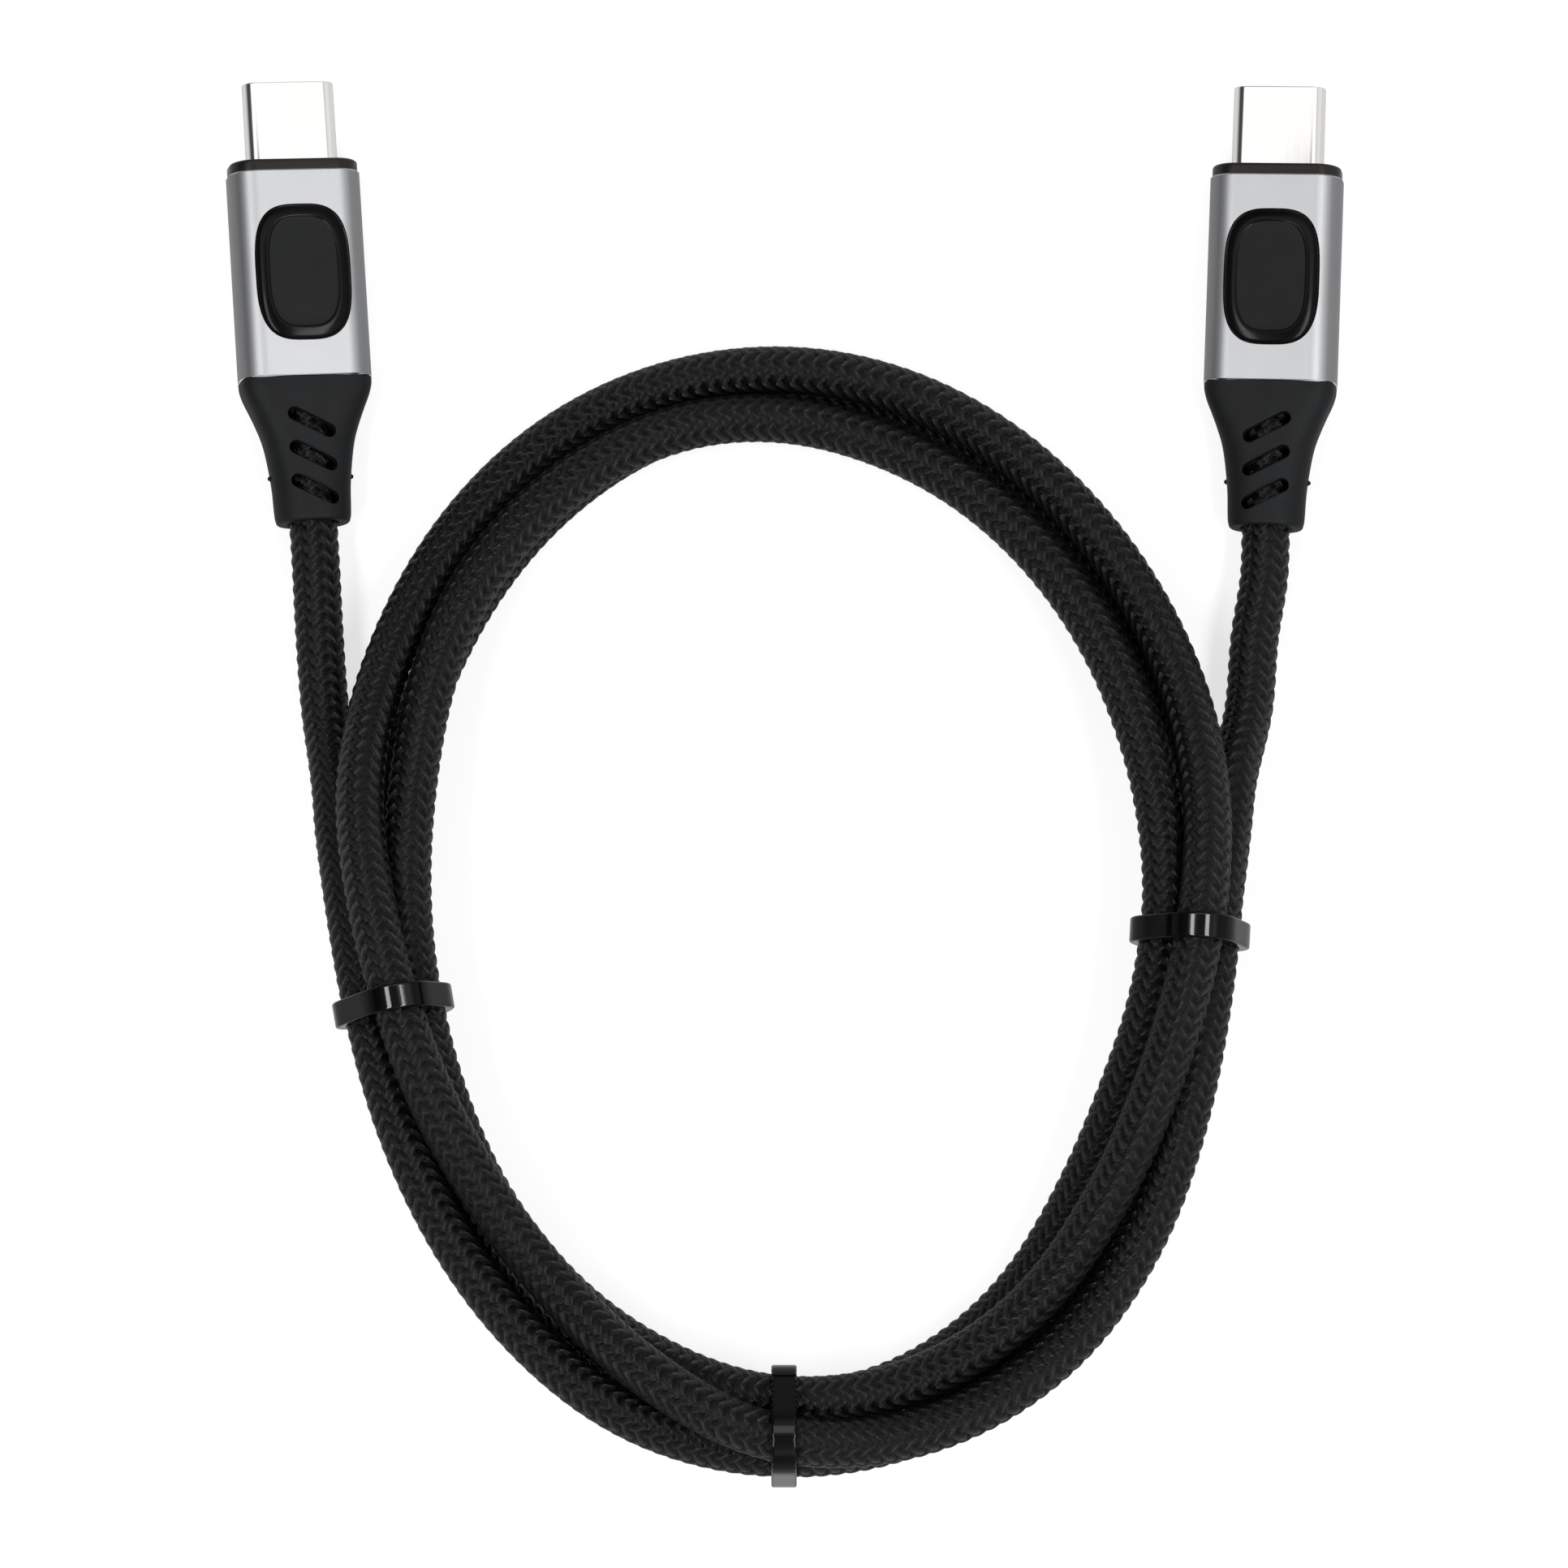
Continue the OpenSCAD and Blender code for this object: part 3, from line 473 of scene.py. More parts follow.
class Nodes:
    """Short calls that add nodes to a material or to the world."""

    def __init__(self, owner, shader="Principled BSDF"):
        self.tree = owner.node_tree
        self.shader = self.tree.nodes[shader]
        self.coords = self.tree.nodes.new("ShaderNodeTexCoord")

    def feed(self, socket, value):
        """Links a node's output to a socket, or sets the socket's own value."""
        if isinstance(value, bpy.types.NodeSocket):
            self.tree.links.new(value, socket)
        else:
            socket.default_value = value

    def add(self, kind, inputs=None, **settings):
        """A node with its settings and inputs."""
        node = self.tree.nodes.new(kind)
        for key, value in settings.items():
            setattr(node, key, value)
        for key, value in (inputs or {}).items():
            self.feed(node.inputs[key], value)
        return node

    def place(self, stretch):
        """Object coordinates in mm, squeezed along an axis by stretch."""
        inputs = {"Vector": self.coords.outputs["Object"], "Scale": [1 / (MM * s) for s in stretch]}
        return self.add("ShaderNodeMapping", inputs).outputs["Vector"]

    def noise(self, scale, detail=3.0, roughness=0.5, stretch=(1, 1, 1)):
        """Even noise, with scale features to a mm."""
        inputs = {"Scale": scale, "Detail": detail, "Roughness": roughness}
        inputs["Vector"] = self.place(stretch)
        return self.add("ShaderNodeTexNoise", inputs).outputs["Fac"]

    def remap(self, value, low, high, to_low, to_high):
        """to_low to to_high, while a value goes from low to high."""
        inputs = {
            "Value": value, "From Min": low, "From Max": high, "To Min": to_low, "To Max": to_high}
        return self.add("ShaderNodeMapRange", inputs).outputs["Result"]

    def spread(self, noise, to_low, to_high):
        """to_low to to_high, over the range that most of a noise lies in."""
        return self.remap(noise, *NOISE_RANGE, to_low, to_high)

    def mix_color(self, factor, color_a, color_b):
        """Blend of two colours, each of them an output or red, green and blue."""
        colors = [c if isinstance(c, bpy.types.NodeSocket) else (*c, 1) for c in (color_a, color_b)]
        inputs = {0: factor, 6: colors[0], 7: colors[1]}
        return self.add("ShaderNodeMix", inputs, data_type="RGBA").outputs[2]

    def uneven(self, base, darker, lighter, scale, detail):
        """A colour that varies softly between two shades of base."""
        tone = self.spread(self.noise(scale, detail), 0, 1)
        return self.mix_color(tone, scaled(base, darker), scaled(base, lighter))

    def ramp(self, factor, stops):
        """Greys over a factor, from a table of positions and values."""
        node = self.add("ShaderNodeValToRGB", {"Fac": factor})
        elements = node.color_ramp.elements
        elements[0].position, elements[1].position = stops[0][0], stops[-1][0]
        for element, (_, value) in zip(elements, (stops[0], stops[-1])):
            element.color = (*grey(value), 1)
        for position, value in stops[1:-1]:
            elements.new(position).color = (*grey(value), 1)
        return node.outputs["Color"]

    def math(self, operation, a, b):
        """Result of an operation on two values."""
        return self.add("ShaderNodeMath", {0: a, 1: b}, operation=operation).outputs[0]

    def facing(self):
        """0 where a surface faces the ray, 1 where it is seen edge on."""
        return self.add("ShaderNodeLayerWeight", {"Blend": 0.5}).outputs["Facing"]

    def color(self, value):
        """Feeds the shader's colour."""
        self.feed(self.shader.inputs["Base Color"], value)

    def roughness(self, value):
        """Feeds the shader's roughness."""
        self.feed(self.shader.inputs["Roughness"], value)

    def bump(self, height, distance_mm, strength=1.0):
        """Relief of a height that varies from 0 to 1, distance_mm deep."""
        inputs = {"Height": height, "Distance": distance_mm * MM, "Strength": strength}
        self.feed(self.shader.inputs["Normal"], self.add("ShaderNodeBump", inputs).outputs["Normal"])


def grey(value):
    """A colour with the same red, green and blue."""
    return (value, value, value)


def scaled(color, factor):
    """A lighter or darker colour."""
    return tuple(c * factor for c in color)


def yarn_material():
    """Black nylon yarn: fine threads along each yarn, with a soft sheen."""
    base = (0.0016, 0.0016, 0.0018)
    material = new_material("braided_nylon", base, 0.22, Specular_IOR_Level=0.3)
    n = Nodes(material)
    uv = n.add("ShaderNodeUVMap", uv_map="Yarn").outputs["UV"]
    threads = n.add("ShaderNodeTexWave", {
        "Vector": uv, "Scale": 1.15, "Distortion": 0.5, "Detail": 1.0, "Detail Scale": 2.0},
        wave_type="BANDS", bands_direction="X").outputs["Fac"]
    n.color(n.uneven(base, 0.75, 1.4, 0.35, 2.0))
    n.roughness(n.spread(n.noise(2.5), 0.12, 0.3))
    n.bump(threads, 0.035, 0.8)
    return material


def sleeve_material():
    """Bead blasted aluminium, anodised silver grey, with painted shade that darkens its colour where
    it is seen at a slant.
    """
    base = (0.505, 0.51, 0.522)
    material = new_material("satin_aluminium", base, 0.48, 1.0)
    n = Nodes(material)
    # Painted shade: the colour darkens towards the flanks seen at a slant, in place of the darker
    # surroundings that they reflect.
    painted_flank_shade = n.remap(n.facing(), 0.04, 0.24, 0, 1)
    n.color(n.mix_color(painted_flank_shade, n.uneven(base, 0.98, 1.02, 0.25, 2.0), scaled(base, 0.54)))
    grain = n.noise(14.0, 2.0, 0.6)
    n.roughness(n.spread(grain, 0.45, 0.51))
    n.bump(grain, 0.004, 0.6)
    return material


def chamfer_material():
    """Bright aluminium with the fine marks of the cutter."""
    material = new_material("cut_aluminium", (0.80, 0.81, 0.83), 0.16, 1.0)
    n = Nodes(material)
    n.roughness(n.spread(n.noise(6.0, 2.0, 0.5, (1, 8, 1)), 0.13, 0.22))
    return material


def shell_material():
    """Nickel plate, polished along the drawn shell."""
    base = (0.90, 0.885, 0.865)
    material = new_material("nickel_plate", base, 0.14, 1.0)
    n = Nodes(material)
    n.roughness(n.spread(n.noise(3.0, 3.0, 0.6, (1, 14, 1)), 0.09, 0.15))
    n.color(n.uneven(base, 0.98, 1.02, 0.2, 1.0))
    return material


def steel_material():
    """Rolled spring steel."""
    material = new_material("spring_steel", (0.60, 0.60, 0.60), 0.28, 1.0)
    n = Nodes(material)
    n.roughness(n.spread(n.noise(5.0, 2.0, 0.5, (1, 10, 1)), 0.22, 0.38))
    return material


def gold_material():
    """Gold plate of the contacts."""
    material = new_material("gold_plate", (0.86, 0.62, 0.27), 0.22, 1.0)
    n = Nodes(material)
    n.roughness(n.spread(n.noise(6.0), 0.16, 0.30))
    return material


def plastic_material(name, base, roughness, grain=8.0, depth=0.004, spread=0.05, **sockets):
    """Moulded plastic or rubber with a fine skin texture and slightly uneven tone."""
    material = new_material(name, base, roughness, **sockets)
    n = Nodes(material)
    n.color(n.uneven(base, 0.88, 1.14, 0.4, 2.0))
    skin = n.noise(grain, 2.0, 0.6)
    n.roughness(n.spread(skin, roughness - spread, roughness + spread))
    n.bump(skin, depth)
    return material


def fade_gloss(material, face, slope, brim=0.0):
    """Lets a black's gloss weaken on slopes, and come back where it is seen almost edge on."""
    n = Nodes(material)
    facing = n.facing()
    on_slopes = n.remap(facing, 0.05, 0.16, face, slope)
    level = n.math("ADD", on_slopes, n.remap(facing, 0.62, 0.85, 0, brim))
    n.feed(n.shader.inputs["Specular IOR Level"], level)
    return material


YARN = yarn_material()
SLEEVE = sleeve_material()
CUT_EDGE = chamfer_material()
SHELL = shell_material()
STEEL = steel_material()
GOLD = gold_material()
BOOT = plastic_material("boot_rubber", (0.006, 0.0066, 0.0074), 0.56, 5.0, 0.02,
                        Specular_IOR_Level=0.17)
COLLAR = plastic_material("collar_plastic", (0.009, 0.006, 0.006), 0.3, 6.0, 0.003,
                          Specular_IOR_Level=0.3)
BADGE_RIM = fade_gloss(
    plastic_material("badge_gloss", (0.003, 0.003, 0.0032), 0.19, 5.0, 0.001, 0.03), 0.13, 0.05)
BADGE_FLAT = plastic_material("badge_matte", (0.0055, 0.006, 0.0068), 0.5, 6.0, 0.012,
                              Specular_IOR_Level=0.17)
TIE = fade_gloss(
    plastic_material("tie_nylon", (0.002, 0.002, 0.0023), 0.08, 4.0, 0.001, 0.02), 0.55, 0.1, 0.32)
INSULATOR = plastic_material("insulator_nylon", (0.014, 0.014, 0.015), 0.42)
BOARD = plastic_material("solder_mask", (0.012, 0.09, 0.035), 0.35)
CHIP = plastic_material("chip_epoxy", (0.02, 0.02, 0.021), 0.5)
RED_WIRE = plastic_material("red_insulation", (0.42, 0.015, 0.012), 0.35)
WHITE_WIRE = plastic_material("white_insulation", (0.72, 0.72, 0.70), 0.35)
MOULDING = plastic_material("grey_moulding", (0.12, 0.12, 0.12), 0.55)

# ---- Camera ----

CAMERA_AIM = mm(-0.09, -0.44, 3)
CAMERA_DISTANCE = 700 * MM
CAMERA_TILT = 8                # degrees from straight above, towards -Y
PIXELS_PER_MM = 13.91          # of the photograph, at the aim
PHOTO_SIZE = 1932
SENSOR = 36.0


def add_camera():
    """A camera in the place and with the angle of view of the photograph's."""
    data = bpy.data.cameras.new("camera")
    data.sensor_width = SENSOR
    data.lens = SENSOR / PHOTO_SIZE * PIXELS_PER_MM / MM * CAMERA_DISTANCE
    data.clip_start, data.clip_end = 0.05, 20
    camera = bpy.data.objects.new("camera", data)
    bpy.context.scene.collection.objects.link(camera)
    tilt = radians(CAMERA_TILT)
    camera.location = CAMERA_AIM + Vector((0, -sin(tilt), cos(tilt))) * CAMERA_DISTANCE
    camera.rotation_euler = (tilt, 0, 0)
    bpy.context.scene.camera = camera


add_camera()

# ---- The braided cord ----

def cord_line():
    """The whole cord's centreline, from the left plug round the coil to the right one."""
    coil = [strand_point(a) for a in range(COIL_START, COIL_END + 1, COIL_STEP)]
    left, right = end_points(PLUGS["left"]), end_points(PLUGS["right"])
    return smooth_line(left + coil + right[::-1], BRAID_LAY / BRAID_STEPS)


def yarn_height(turns, way):
    """Place in or out, -1 to 1, of a yarn that lies over two others and under two."""
    columns = turns * 2 * BRAID_CARRIERS
    wave = np.cos((columns - 0.5) * pi / 2) * way
    return wave * (1 + YARN_HOLD - YARN_HOLD * wave * wave)


def join_strips(line, strips):
    """Vertices, quads and UVs of strips along the line.

    A strip is three arrays with a row for each point of the line (radii, angles
    and UVs), and whether it closes round the line.
    """
    sides, ups = carried_frames(line)
    vertices, quads, uvs, start = [], [], [], 0
    for radius, angle, uv, closed in strips:
        c, s = np.cos(angle)[..., None], np.sin(angle)[..., None]
        ring = radius[..., None] * (c * sides[:, None] + s * ups[:, None])
        vertices.append((line[:, None] + ring).reshape(-1, 3))
        uvs.append(uv.reshape(-1, 2))
        rows, cols = angle.shape
        k = np.arange(rows - 1)[:, None] * cols
        j = np.arange(cols if closed else cols - 1)[None]
        a, b = start + k + j, start + k + (j + 1) % cols
        quads.append(np.stack([a, b, b + cols, a + cols], -1).reshape(-1, 4))
        start += rows * cols
    return np.concatenate(vertices), np.concatenate(quads), np.concatenate(uvs)


def braid_mesh(line):
    """Vertices, quads and UVs of all the yarns, and of the core inside them."""
    across = np.array(YARN_PLACES)
    crown = YARN_CROWN * (1 - across ** 2) ** YARN_CROWN_POWER
    run = np.arange(len(line)) / BRAID_STEPS
    uv = np.stack(np.broadcast_arrays(across[None] * YARN_THREADS, run[:, None] * BRAID_LAY), -1)
    lean = atan2(2 * pi * BRAID_R, BRAID_LAY)
    half = YARN_W / 2 / cos(lean) / BRAID_R
    strips = []
    for way in (1, -1):
        for carrier in range(BRAID_CARRIERS):
            turns = carrier / BRAID_CARRIERS + way * run
            height = yarn_height(turns, way)
            radius = BRAID_R - BRAID_RISE - YARN_CROWN + BRAID_RISE * height[:, None] + crown[None]
            angle = 2 * pi * turns[:, None] + half * across[None]
            strips.append((radius, angle, uv, False))
    core = np.broadcast_to(np.arange(CORE_SIDES) * 2 * pi / CORE_SIDES, (len(line), CORE_SIDES))
    strips.append((np.full(core.shape, CORE_R), core, np.zeros((*core.shape, 2)), True))
    return join_strips(line, strips)


def add_cord():
    """The braid, its path in metres and its length."""
    line = cord_line()
    vertices, quads, uvs = braid_mesh(line)
    cord = add_mesh("braided_cord", vertices * MM, quads, YARN, uvs)
    finish_piece(cord, "cord", "left_cord_end", "cord_coil", "right_cord_end")
    length = np.linalg.norm(np.diff(line, axis=0), axis=1).sum() * MM
    return cord, line * MM, length


cord, cord_path, cord_length = add_cord()

# ---- Pieces of a plug ----

def add_shell(side, matrix):
    """The drawn metal shell, with a rounded mouth."""
    rear_y, round_y = COLLAR_FACE_Y - SHELL_HELD, SHELL_TIP_Y - SHELL_WALL / 2
    mouth = [(inset, round_y + along) for inset, along in round_steps(SHELL_WALL / 2, EDGE_STEPS)]
    profile = [(0, rear_y)] + mouth + [(SHELL_WALL - inset, y) for inset, y in reversed(mouth[:-1])]
    profile += [(SHELL_WALL, rear_y)]
    rings = [at_y(rounded_outline(SHELL_W, SHELL_H, SHELL_H / 2, inset), y) for inset, y in profile]
    shell = add_loft(f"{side}_plug_shell", matrix, rings, SHELL, looped=True)
    return finish_piece(sharpen(shell, 40), "plug_shell", f"{side}_shell")


def add_collar(side, matrix):
    """Black ring between the shell and the sleeve, its front edge rounded."""
    w, h, r = SLEEVE_W - 2 * COLLAR_INSET, SLEEVE_H - 2 * COLLAR_INSET, SLEEVE_R - COLLAR_INSET
    profile = [(0, SLEEVE_LEN)]
    profile += [(i, COLLAR_FACE_Y - COLLAR_EDGE + a) for i, a in round_steps(COLLAR_EDGE, EDGE_STEPS)]
    rings = [at_y(rounded_outline(w, h, r, inset), y) for inset, y in profile]
    hole = rounded_outline(SHELL_W, SHELL_H, SHELL_H / 2, -COLLAR_PLAY)
    rings += [at_y(hole, COLLAR_FACE_Y), at_y(hole, SLEEVE_LEN)]
    collar = add_loft(f"{side}_front_collar", matrix, rings, COLLAR, looped=True)
    return finish_piece(sharpen(collar, 40), "collar", f"{side}_collar")


def sleeve_top(x, y=0):
    """Height of the sleeve's upper surface above the plug's axis, at x and at any y."""
    beyond = max(abs(x) - (SLEEVE_W / 2 - SLEEVE_R), 0)
    return SLEEVE_H / 2 - SLEEVE_R + (SLEEVE_R ** 2 - min(beyond, SLEEVE_R - SIDE_PLAY) ** 2) ** 0.5


def boot_section(share):
    """Width, thickness and squareness of the boot at a share of its length."""
    blend, power = curve(BOOT_SECTIONS, 1, share), curve(BOOT_SECTIONS, 2, share)
    w = BOOT_START[0] + (BOOT_END[0] - BOOT_START[0]) * blend
    h = BOOT_START[1] + (BOOT_END[1] - BOOT_START[1]) * blend
    return w, h, power


def boot_top(x, y):
    """Height of the boot's upper surface, above the plug's axis."""
    w, h, power = boot_section(min(max(-y / BOOT_LEN, 0), 1))
    return h / 2 * max(1 - abs(2 * x / w) ** power, LEAST_TOP) ** (1 / power)


def window_cutter(outline, surface, edge, matrix, low, side=1):
    """A prism through a surface, flared where it comes out to round or bevel the cut's edge."""
    count = len(outline)
    normals = []
    for k in range(count):
        (x0, y0), (x1, y1) = outline[k - 1], outline[(k + 1) % count]
        span = hypot(x1 - x0, y1 - y0)
        normals.append(((y1 - y0) / span, (x0 - x1) / span))
    rings = [[Vector((x, y, side * low)) for x, y in outline]]
    for out, below in edge:
        grown = [(x + nx * out, y + ny * out) for (x, y), (nx, ny) in zip(outline, normals)]
        rings.append([Vector((x, y, side * (surface(x, y) - below))) for x, y in grown])
    rings.append([Vector((x, y, side * CUT_TOP)) for x, y in grown])
    return sharpen(add_loft("cutter", matrix, rings, CUT_EDGE), ALL_SMOOTH)


def add_sleeve(side, matrix):
    """Satin sleeve with cut chamfers at both ends and round the badge's window."""
    count = ceil((SLEEVE_LEN - 2 * CHAMFER) / SLEEVE_STEP)
    lengths = [CHAMFER + (SLEEVE_LEN - 2 * CHAMFER) * k / count for k in range(count + 1)]
    profile = [(SLEEVE_WALL, 0), (CHAMFER, 0)] + [(0, y) for y in lengths]
    profile += [(CHAMFER, SLEEVE_LEN), (SLEEVE_WALL, SLEEVE_LEN)]
    rings = [at_y(rounded_outline(SLEEVE_W, SLEEVE_H, SLEEVE_R, inset), y) for inset, y in profile]
    sleeve = add_loft(f"{side}_metal_sleeve", matrix, rings, SLEEVE, looped=True)
    sleeve.data.materials.append(CUT_EDGE)
    window = oval_outline(BADGE_W + WINDOW_PLAY, BADGE_LEN + WINDOW_PLAY, BADGE_POWER, BADGE_POINTS)
    outline = [(x, y + BADGE_Y) for x, y in window]
    cut(sleeve, window_cutter(outline, sleeve_top, WINDOW_BEVEL, matrix, WINDOW_LOW))
    mark_cut_edges(sleeve, matrix.inverted(), lambda p: p.y < CHAMFER or p.y > SLEEVE_LEN - CHAMFER)
    true_normals(sharpen(sleeve, 25), matrix)
    return finish_piece(sleeve, "sleeve", f"{side}_sleeve")


def true_normals(piece, matrix):
    """Gives the outside of a rounded bar its exact normals, which the cut's long faces would bend."""
    mesh, to_local = piece.data, matrix.inverted()
    turn, turn_back = to_local.to_3x3(), matrix.to_3x3()
    reach_x, reach_z = SLEEVE_W / 2 - SLEEVE_R, SLEEVE_H / 2 - SLEEVE_R
    normals = [corner.vector.copy() for corner in mesh.corner_normals]
    for face in mesh.polygons:
        flat = (turn @ face.normal).normalized()
        for k in face.loop_indices:
            p = to_local @ mesh.vertices[mesh.loops[k].vertex_index].co
            inner = Vector((min(max(p.x, -reach_x), reach_x), p.y, min(max(p.z, -reach_z), reach_z)))
            out = p - inner
            if out.length > SLEEVE_R - ROUND_PLAY and out.normalized().dot(flat) > SAME_WAY:
                normals[k] = (turn_back @ out).normalized()
    mesh.normals_split_custom_set(normals)


def mark_cut_edges(piece, to_local, is_edge):
    """Gives the second material to small sloping faces where is_edge says so."""
    normal_turn = to_local.to_3x3()
    for face in piece.data.polygons:
        centre = to_local @ face.center
        normal = (normal_turn @ face.normal).normalized()
        if is_edge(centre) and BEVEL_SLOPES[0] < abs(normal.y) < BEVEL_SLOPES[1]:
            face.material_index = 1


def add_badge(side, matrix):
    """Glossy bevelled rim round a flat with a fine matte texture."""
    rings = []
    for inset, rise in BADGE_SLOPES:
        outline = oval_outline(BADGE_W - 2 * inset, BADGE_LEN - 2 * inset, BADGE_POWER, BADGE_POINTS)
        flatness = min(inset / BADGE_RIM_W, 1)
        tops = [sleeve_top(x) for x, _ in outline]
        heights = [top + (SLEEVE_H / 2 - top) * flatness + rise for top in tops]
        rings.append([Vector((x, y + BADGE_Y, z)) for (x, y), z in zip(outline, heights)])
    flat_from = (len(rings) - 2) * BADGE_POINTS
    flat_w, flat_len = BADGE_W - 2 * BADGE_FLAT_IN, BADGE_LEN - 2 * BADGE_FLAT_IN
    for share in BADGE_FLAT_SHARES:
        outline = oval_outline(flat_w * share, flat_len * share, BADGE_POWER, BADGE_POINTS)
        rings.append([Vector((x, y + BADGE_Y, SLEEVE_H / 2 + BADGE_FLAT_RISE)) for x, y in outline])
    badge = add_loft(f"{side}_oval_badge", matrix, rings, BADGE_RIM)
    badge.data.materials.append(BADGE_FLAT)
    foot_cap = len(badge.data.polygons) - 2
    for index, face in enumerate(badge.data.polygons):
        if index >= flat_from and index != foot_cap:
            face.material_index = 1
    return finish_piece(sharpen(badge, 60), "badge", f"{side}_badge")


def boot_outline(share, inset=0.0):
    """The boot's outline at a share of its length, drawn in by inset."""
    w, h, power = boot_section(share)
    return oval_outline(w - 2 * inset, h - 2 * inset, power, BOOT_POINTS)


def slot_outline(middle_y, slant):
    """A long hole with round ends, turned by the slant."""
    points = []
    reach, t = (SLOT_LEN - SLOT_W) / 2, radians(slant)
    for end, from_angle in ((1, -90), (-1, 90)):
        for k in range(SLOT_END_STEPS + 1):
            a = radians(from_angle + 180 * k / SLOT_END_STEPS)
            x, y = end * reach + SLOT_W / 2 * cos(a), SLOT_W / 2 * sin(a)
            points.append((x * cos(t) - y * sin(t), x * sin(t) + y * cos(t) + middle_y))
    return points


def add_boot(side, matrix, slant_way):
    """Strain relief boot: flares to the sleeve, slotted through, rounded where the cord leaves."""
    shares = [(BOOT_LEN - BOOT_EDGE) / BOOT_LEN * k / BOOT_RINGS for k in range(BOOT_RINGS + 1)]
    rings = [at_y(boot_outline(s), -s * BOOT_LEN) for s in shares]
    for inset, along in round_steps(BOOT_EDGE, EDGE_STEPS)[1:]:
        rings.append(at_y(boot_outline(shares[-1], inset), -(BOOT_LEN - BOOT_EDGE + along)))
    bore, lip = circle(BOOT_BORE_R, BOOT_POINTS), circle(BOOT_BORE_R + BOOT_LIP, BOOT_POINTS)
    rings += [at_y(lip, -BOOT_LEN), at_y(bore, -BOOT_LEN + BOOT_LIP)]
    rings += [at_y(bore, -BOOT_LEN * s) for s in BORE_SHARES]
    boot = add_loft(f"{side}_strain_relief", matrix, rings, BOOT, looped=True)
    sharpen(boot, 45)
    for k in range(SLOT_COUNT):
        outline = slot_outline(FIRST_SLOT_Y - k * SLOT_PITCH, slant_way * SLOT_SLANT)
        for face_side in (1, -1):
            cut(boot, window_cutter(outline, boot_top, SLOT_FILLET, matrix, SLOT_LOW, face_side))
    return finish_piece(sharpen(boot, 35), "boot", f"{side}_boot")


def add_nubs(side, matrix):
    """Small moulding nubs on the boot's two sides."""
    vertices, faces = [], []
    for way in (-1, 1):
        rings = []
        for share, r in NUB_PROFILE:
            x = way * (NUB_TIP_W / 2 - NUB_ROOT + NUB_ROOT * share)
            outline = circle(NUB_R * r, NUB_POINTS)
            rings.append([(x, y - NUB_SHARE * BOOT_LEN, z) for y, z in outline])
        v, f = loft(rings)
        faces += [[i + len(vertices) for i in face] for face in f]
        vertices += v
    nubs = add_mesh(f"{side}_boot_nubs", placed(matrix, vertices), faces, BOOT)
    return finish_piece(sharpen(nubs, 50), "boot")


NODE_MATERIALS = {
    "insulator": INSULATOR, "upper_contacts": GOLD, "lower_contacts": GOLD, "latch_plate": STEEL,
    "upper_spring": STEEL, "lower_spring": STEEL, "board": BOARD, "marker_chip": CHIP,
    "power_wires": RED_WIRE, "signal_wires": WHITE_WIRE, "crimp": STEEL, "inner_mould": MOULDING,
}


def dress_nodes(side):
    """Materials for the solids that stay as they are."""
    nodes = [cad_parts[f"{side}_{name}"] for name in NODE_MATERIALS]
    for node, material in zip(nodes, NODE_MATERIALS.values()):
        node.data.materials.clear()
        node.data.materials.append(material)
    return nodes


def add_plug(side):
    """All the pieces of a plug."""
    plug = PLUGS[side]
    matrix = plug_matrix(plug)
    made = [
        add_shell(side, matrix), add_collar(side, matrix), add_sleeve(side, matrix),
        add_badge(side, matrix), add_boot(side, matrix, plug["slant"]), add_nubs(side, matrix),
    ]
    return made + dress_nodes(side)


add_plug("left")
right_pieces = add_plug("right")

# ---- Cable ties ----

def tied_strands(angle):
    """Strands inside a tie, as places outwards from the bundle's middle and upwards."""
    mid, out = bundle_mid(angle), outward(angle)
    runs = [angle + 360 * turn for turn in range(ceil(COIL_END / 360))]
    points = [strand_point(run) for run in runs if COIL_START <= run <= COIL_END]
    return [((p - mid).dot(out), p.z) for p in points]


def half_hull(points):
    """One side of the convex hull of points that are sorted by place."""
    kept = []
    for p in points:
        while len(kept) > 1 and ((kept[-1][0] - kept[-2][0]) * (p[1] - kept[-2][1])
                                 - (kept[-1][1] - kept[-2][1]) * (p[0] - kept[-2][0])) <= 0:
            kept.pop()
        kept.append(p)
    return kept


def band_line(strands, radius):
    """Points and outward normals, TIE_STEP apart, on the convex line round circles at the strands."""
    samples = []
    for u, v in strands:
        for a in (radians(360 / BAND_POINTS * k) for k in range(BAND_POINTS)):
            samples.append((u + radius * cos(a), v + radius * sin(a), cos(a), sin(a)))
    samples.sort()
    hull = np.array(half_hull(samples)[:-1] + half_hull(samples[::-1])[:-1])
    hull = np.vstack([hull, hull[:1]])
    run = np.concatenate([[0], np.cumsum(np.hypot(*np.diff(hull[:, :2], axis=0).T))])
    repeat = 2 * RIDGE_RINGS       # the rings' count is a multiple, so that the ridges meet
    at = np.linspace(0, run[-1], repeat * ceil(run[-1] / TIE_STEP / repeat) + 1)[:-1]
    line = np.stack([np.interp(at, run, hull[:, c]) for c in range(4)])
    reach = np.arange(-TIE_BEND_STEPS, TIE_BEND_STEPS + 1)
    weights = np.exp(-((reach * TIE_STEP / TIE_BEND) ** 2) / 2)
    return sum(w * np.roll(line, k, axis=1) for k, w in zip(reach, weights / weights.sum())).T


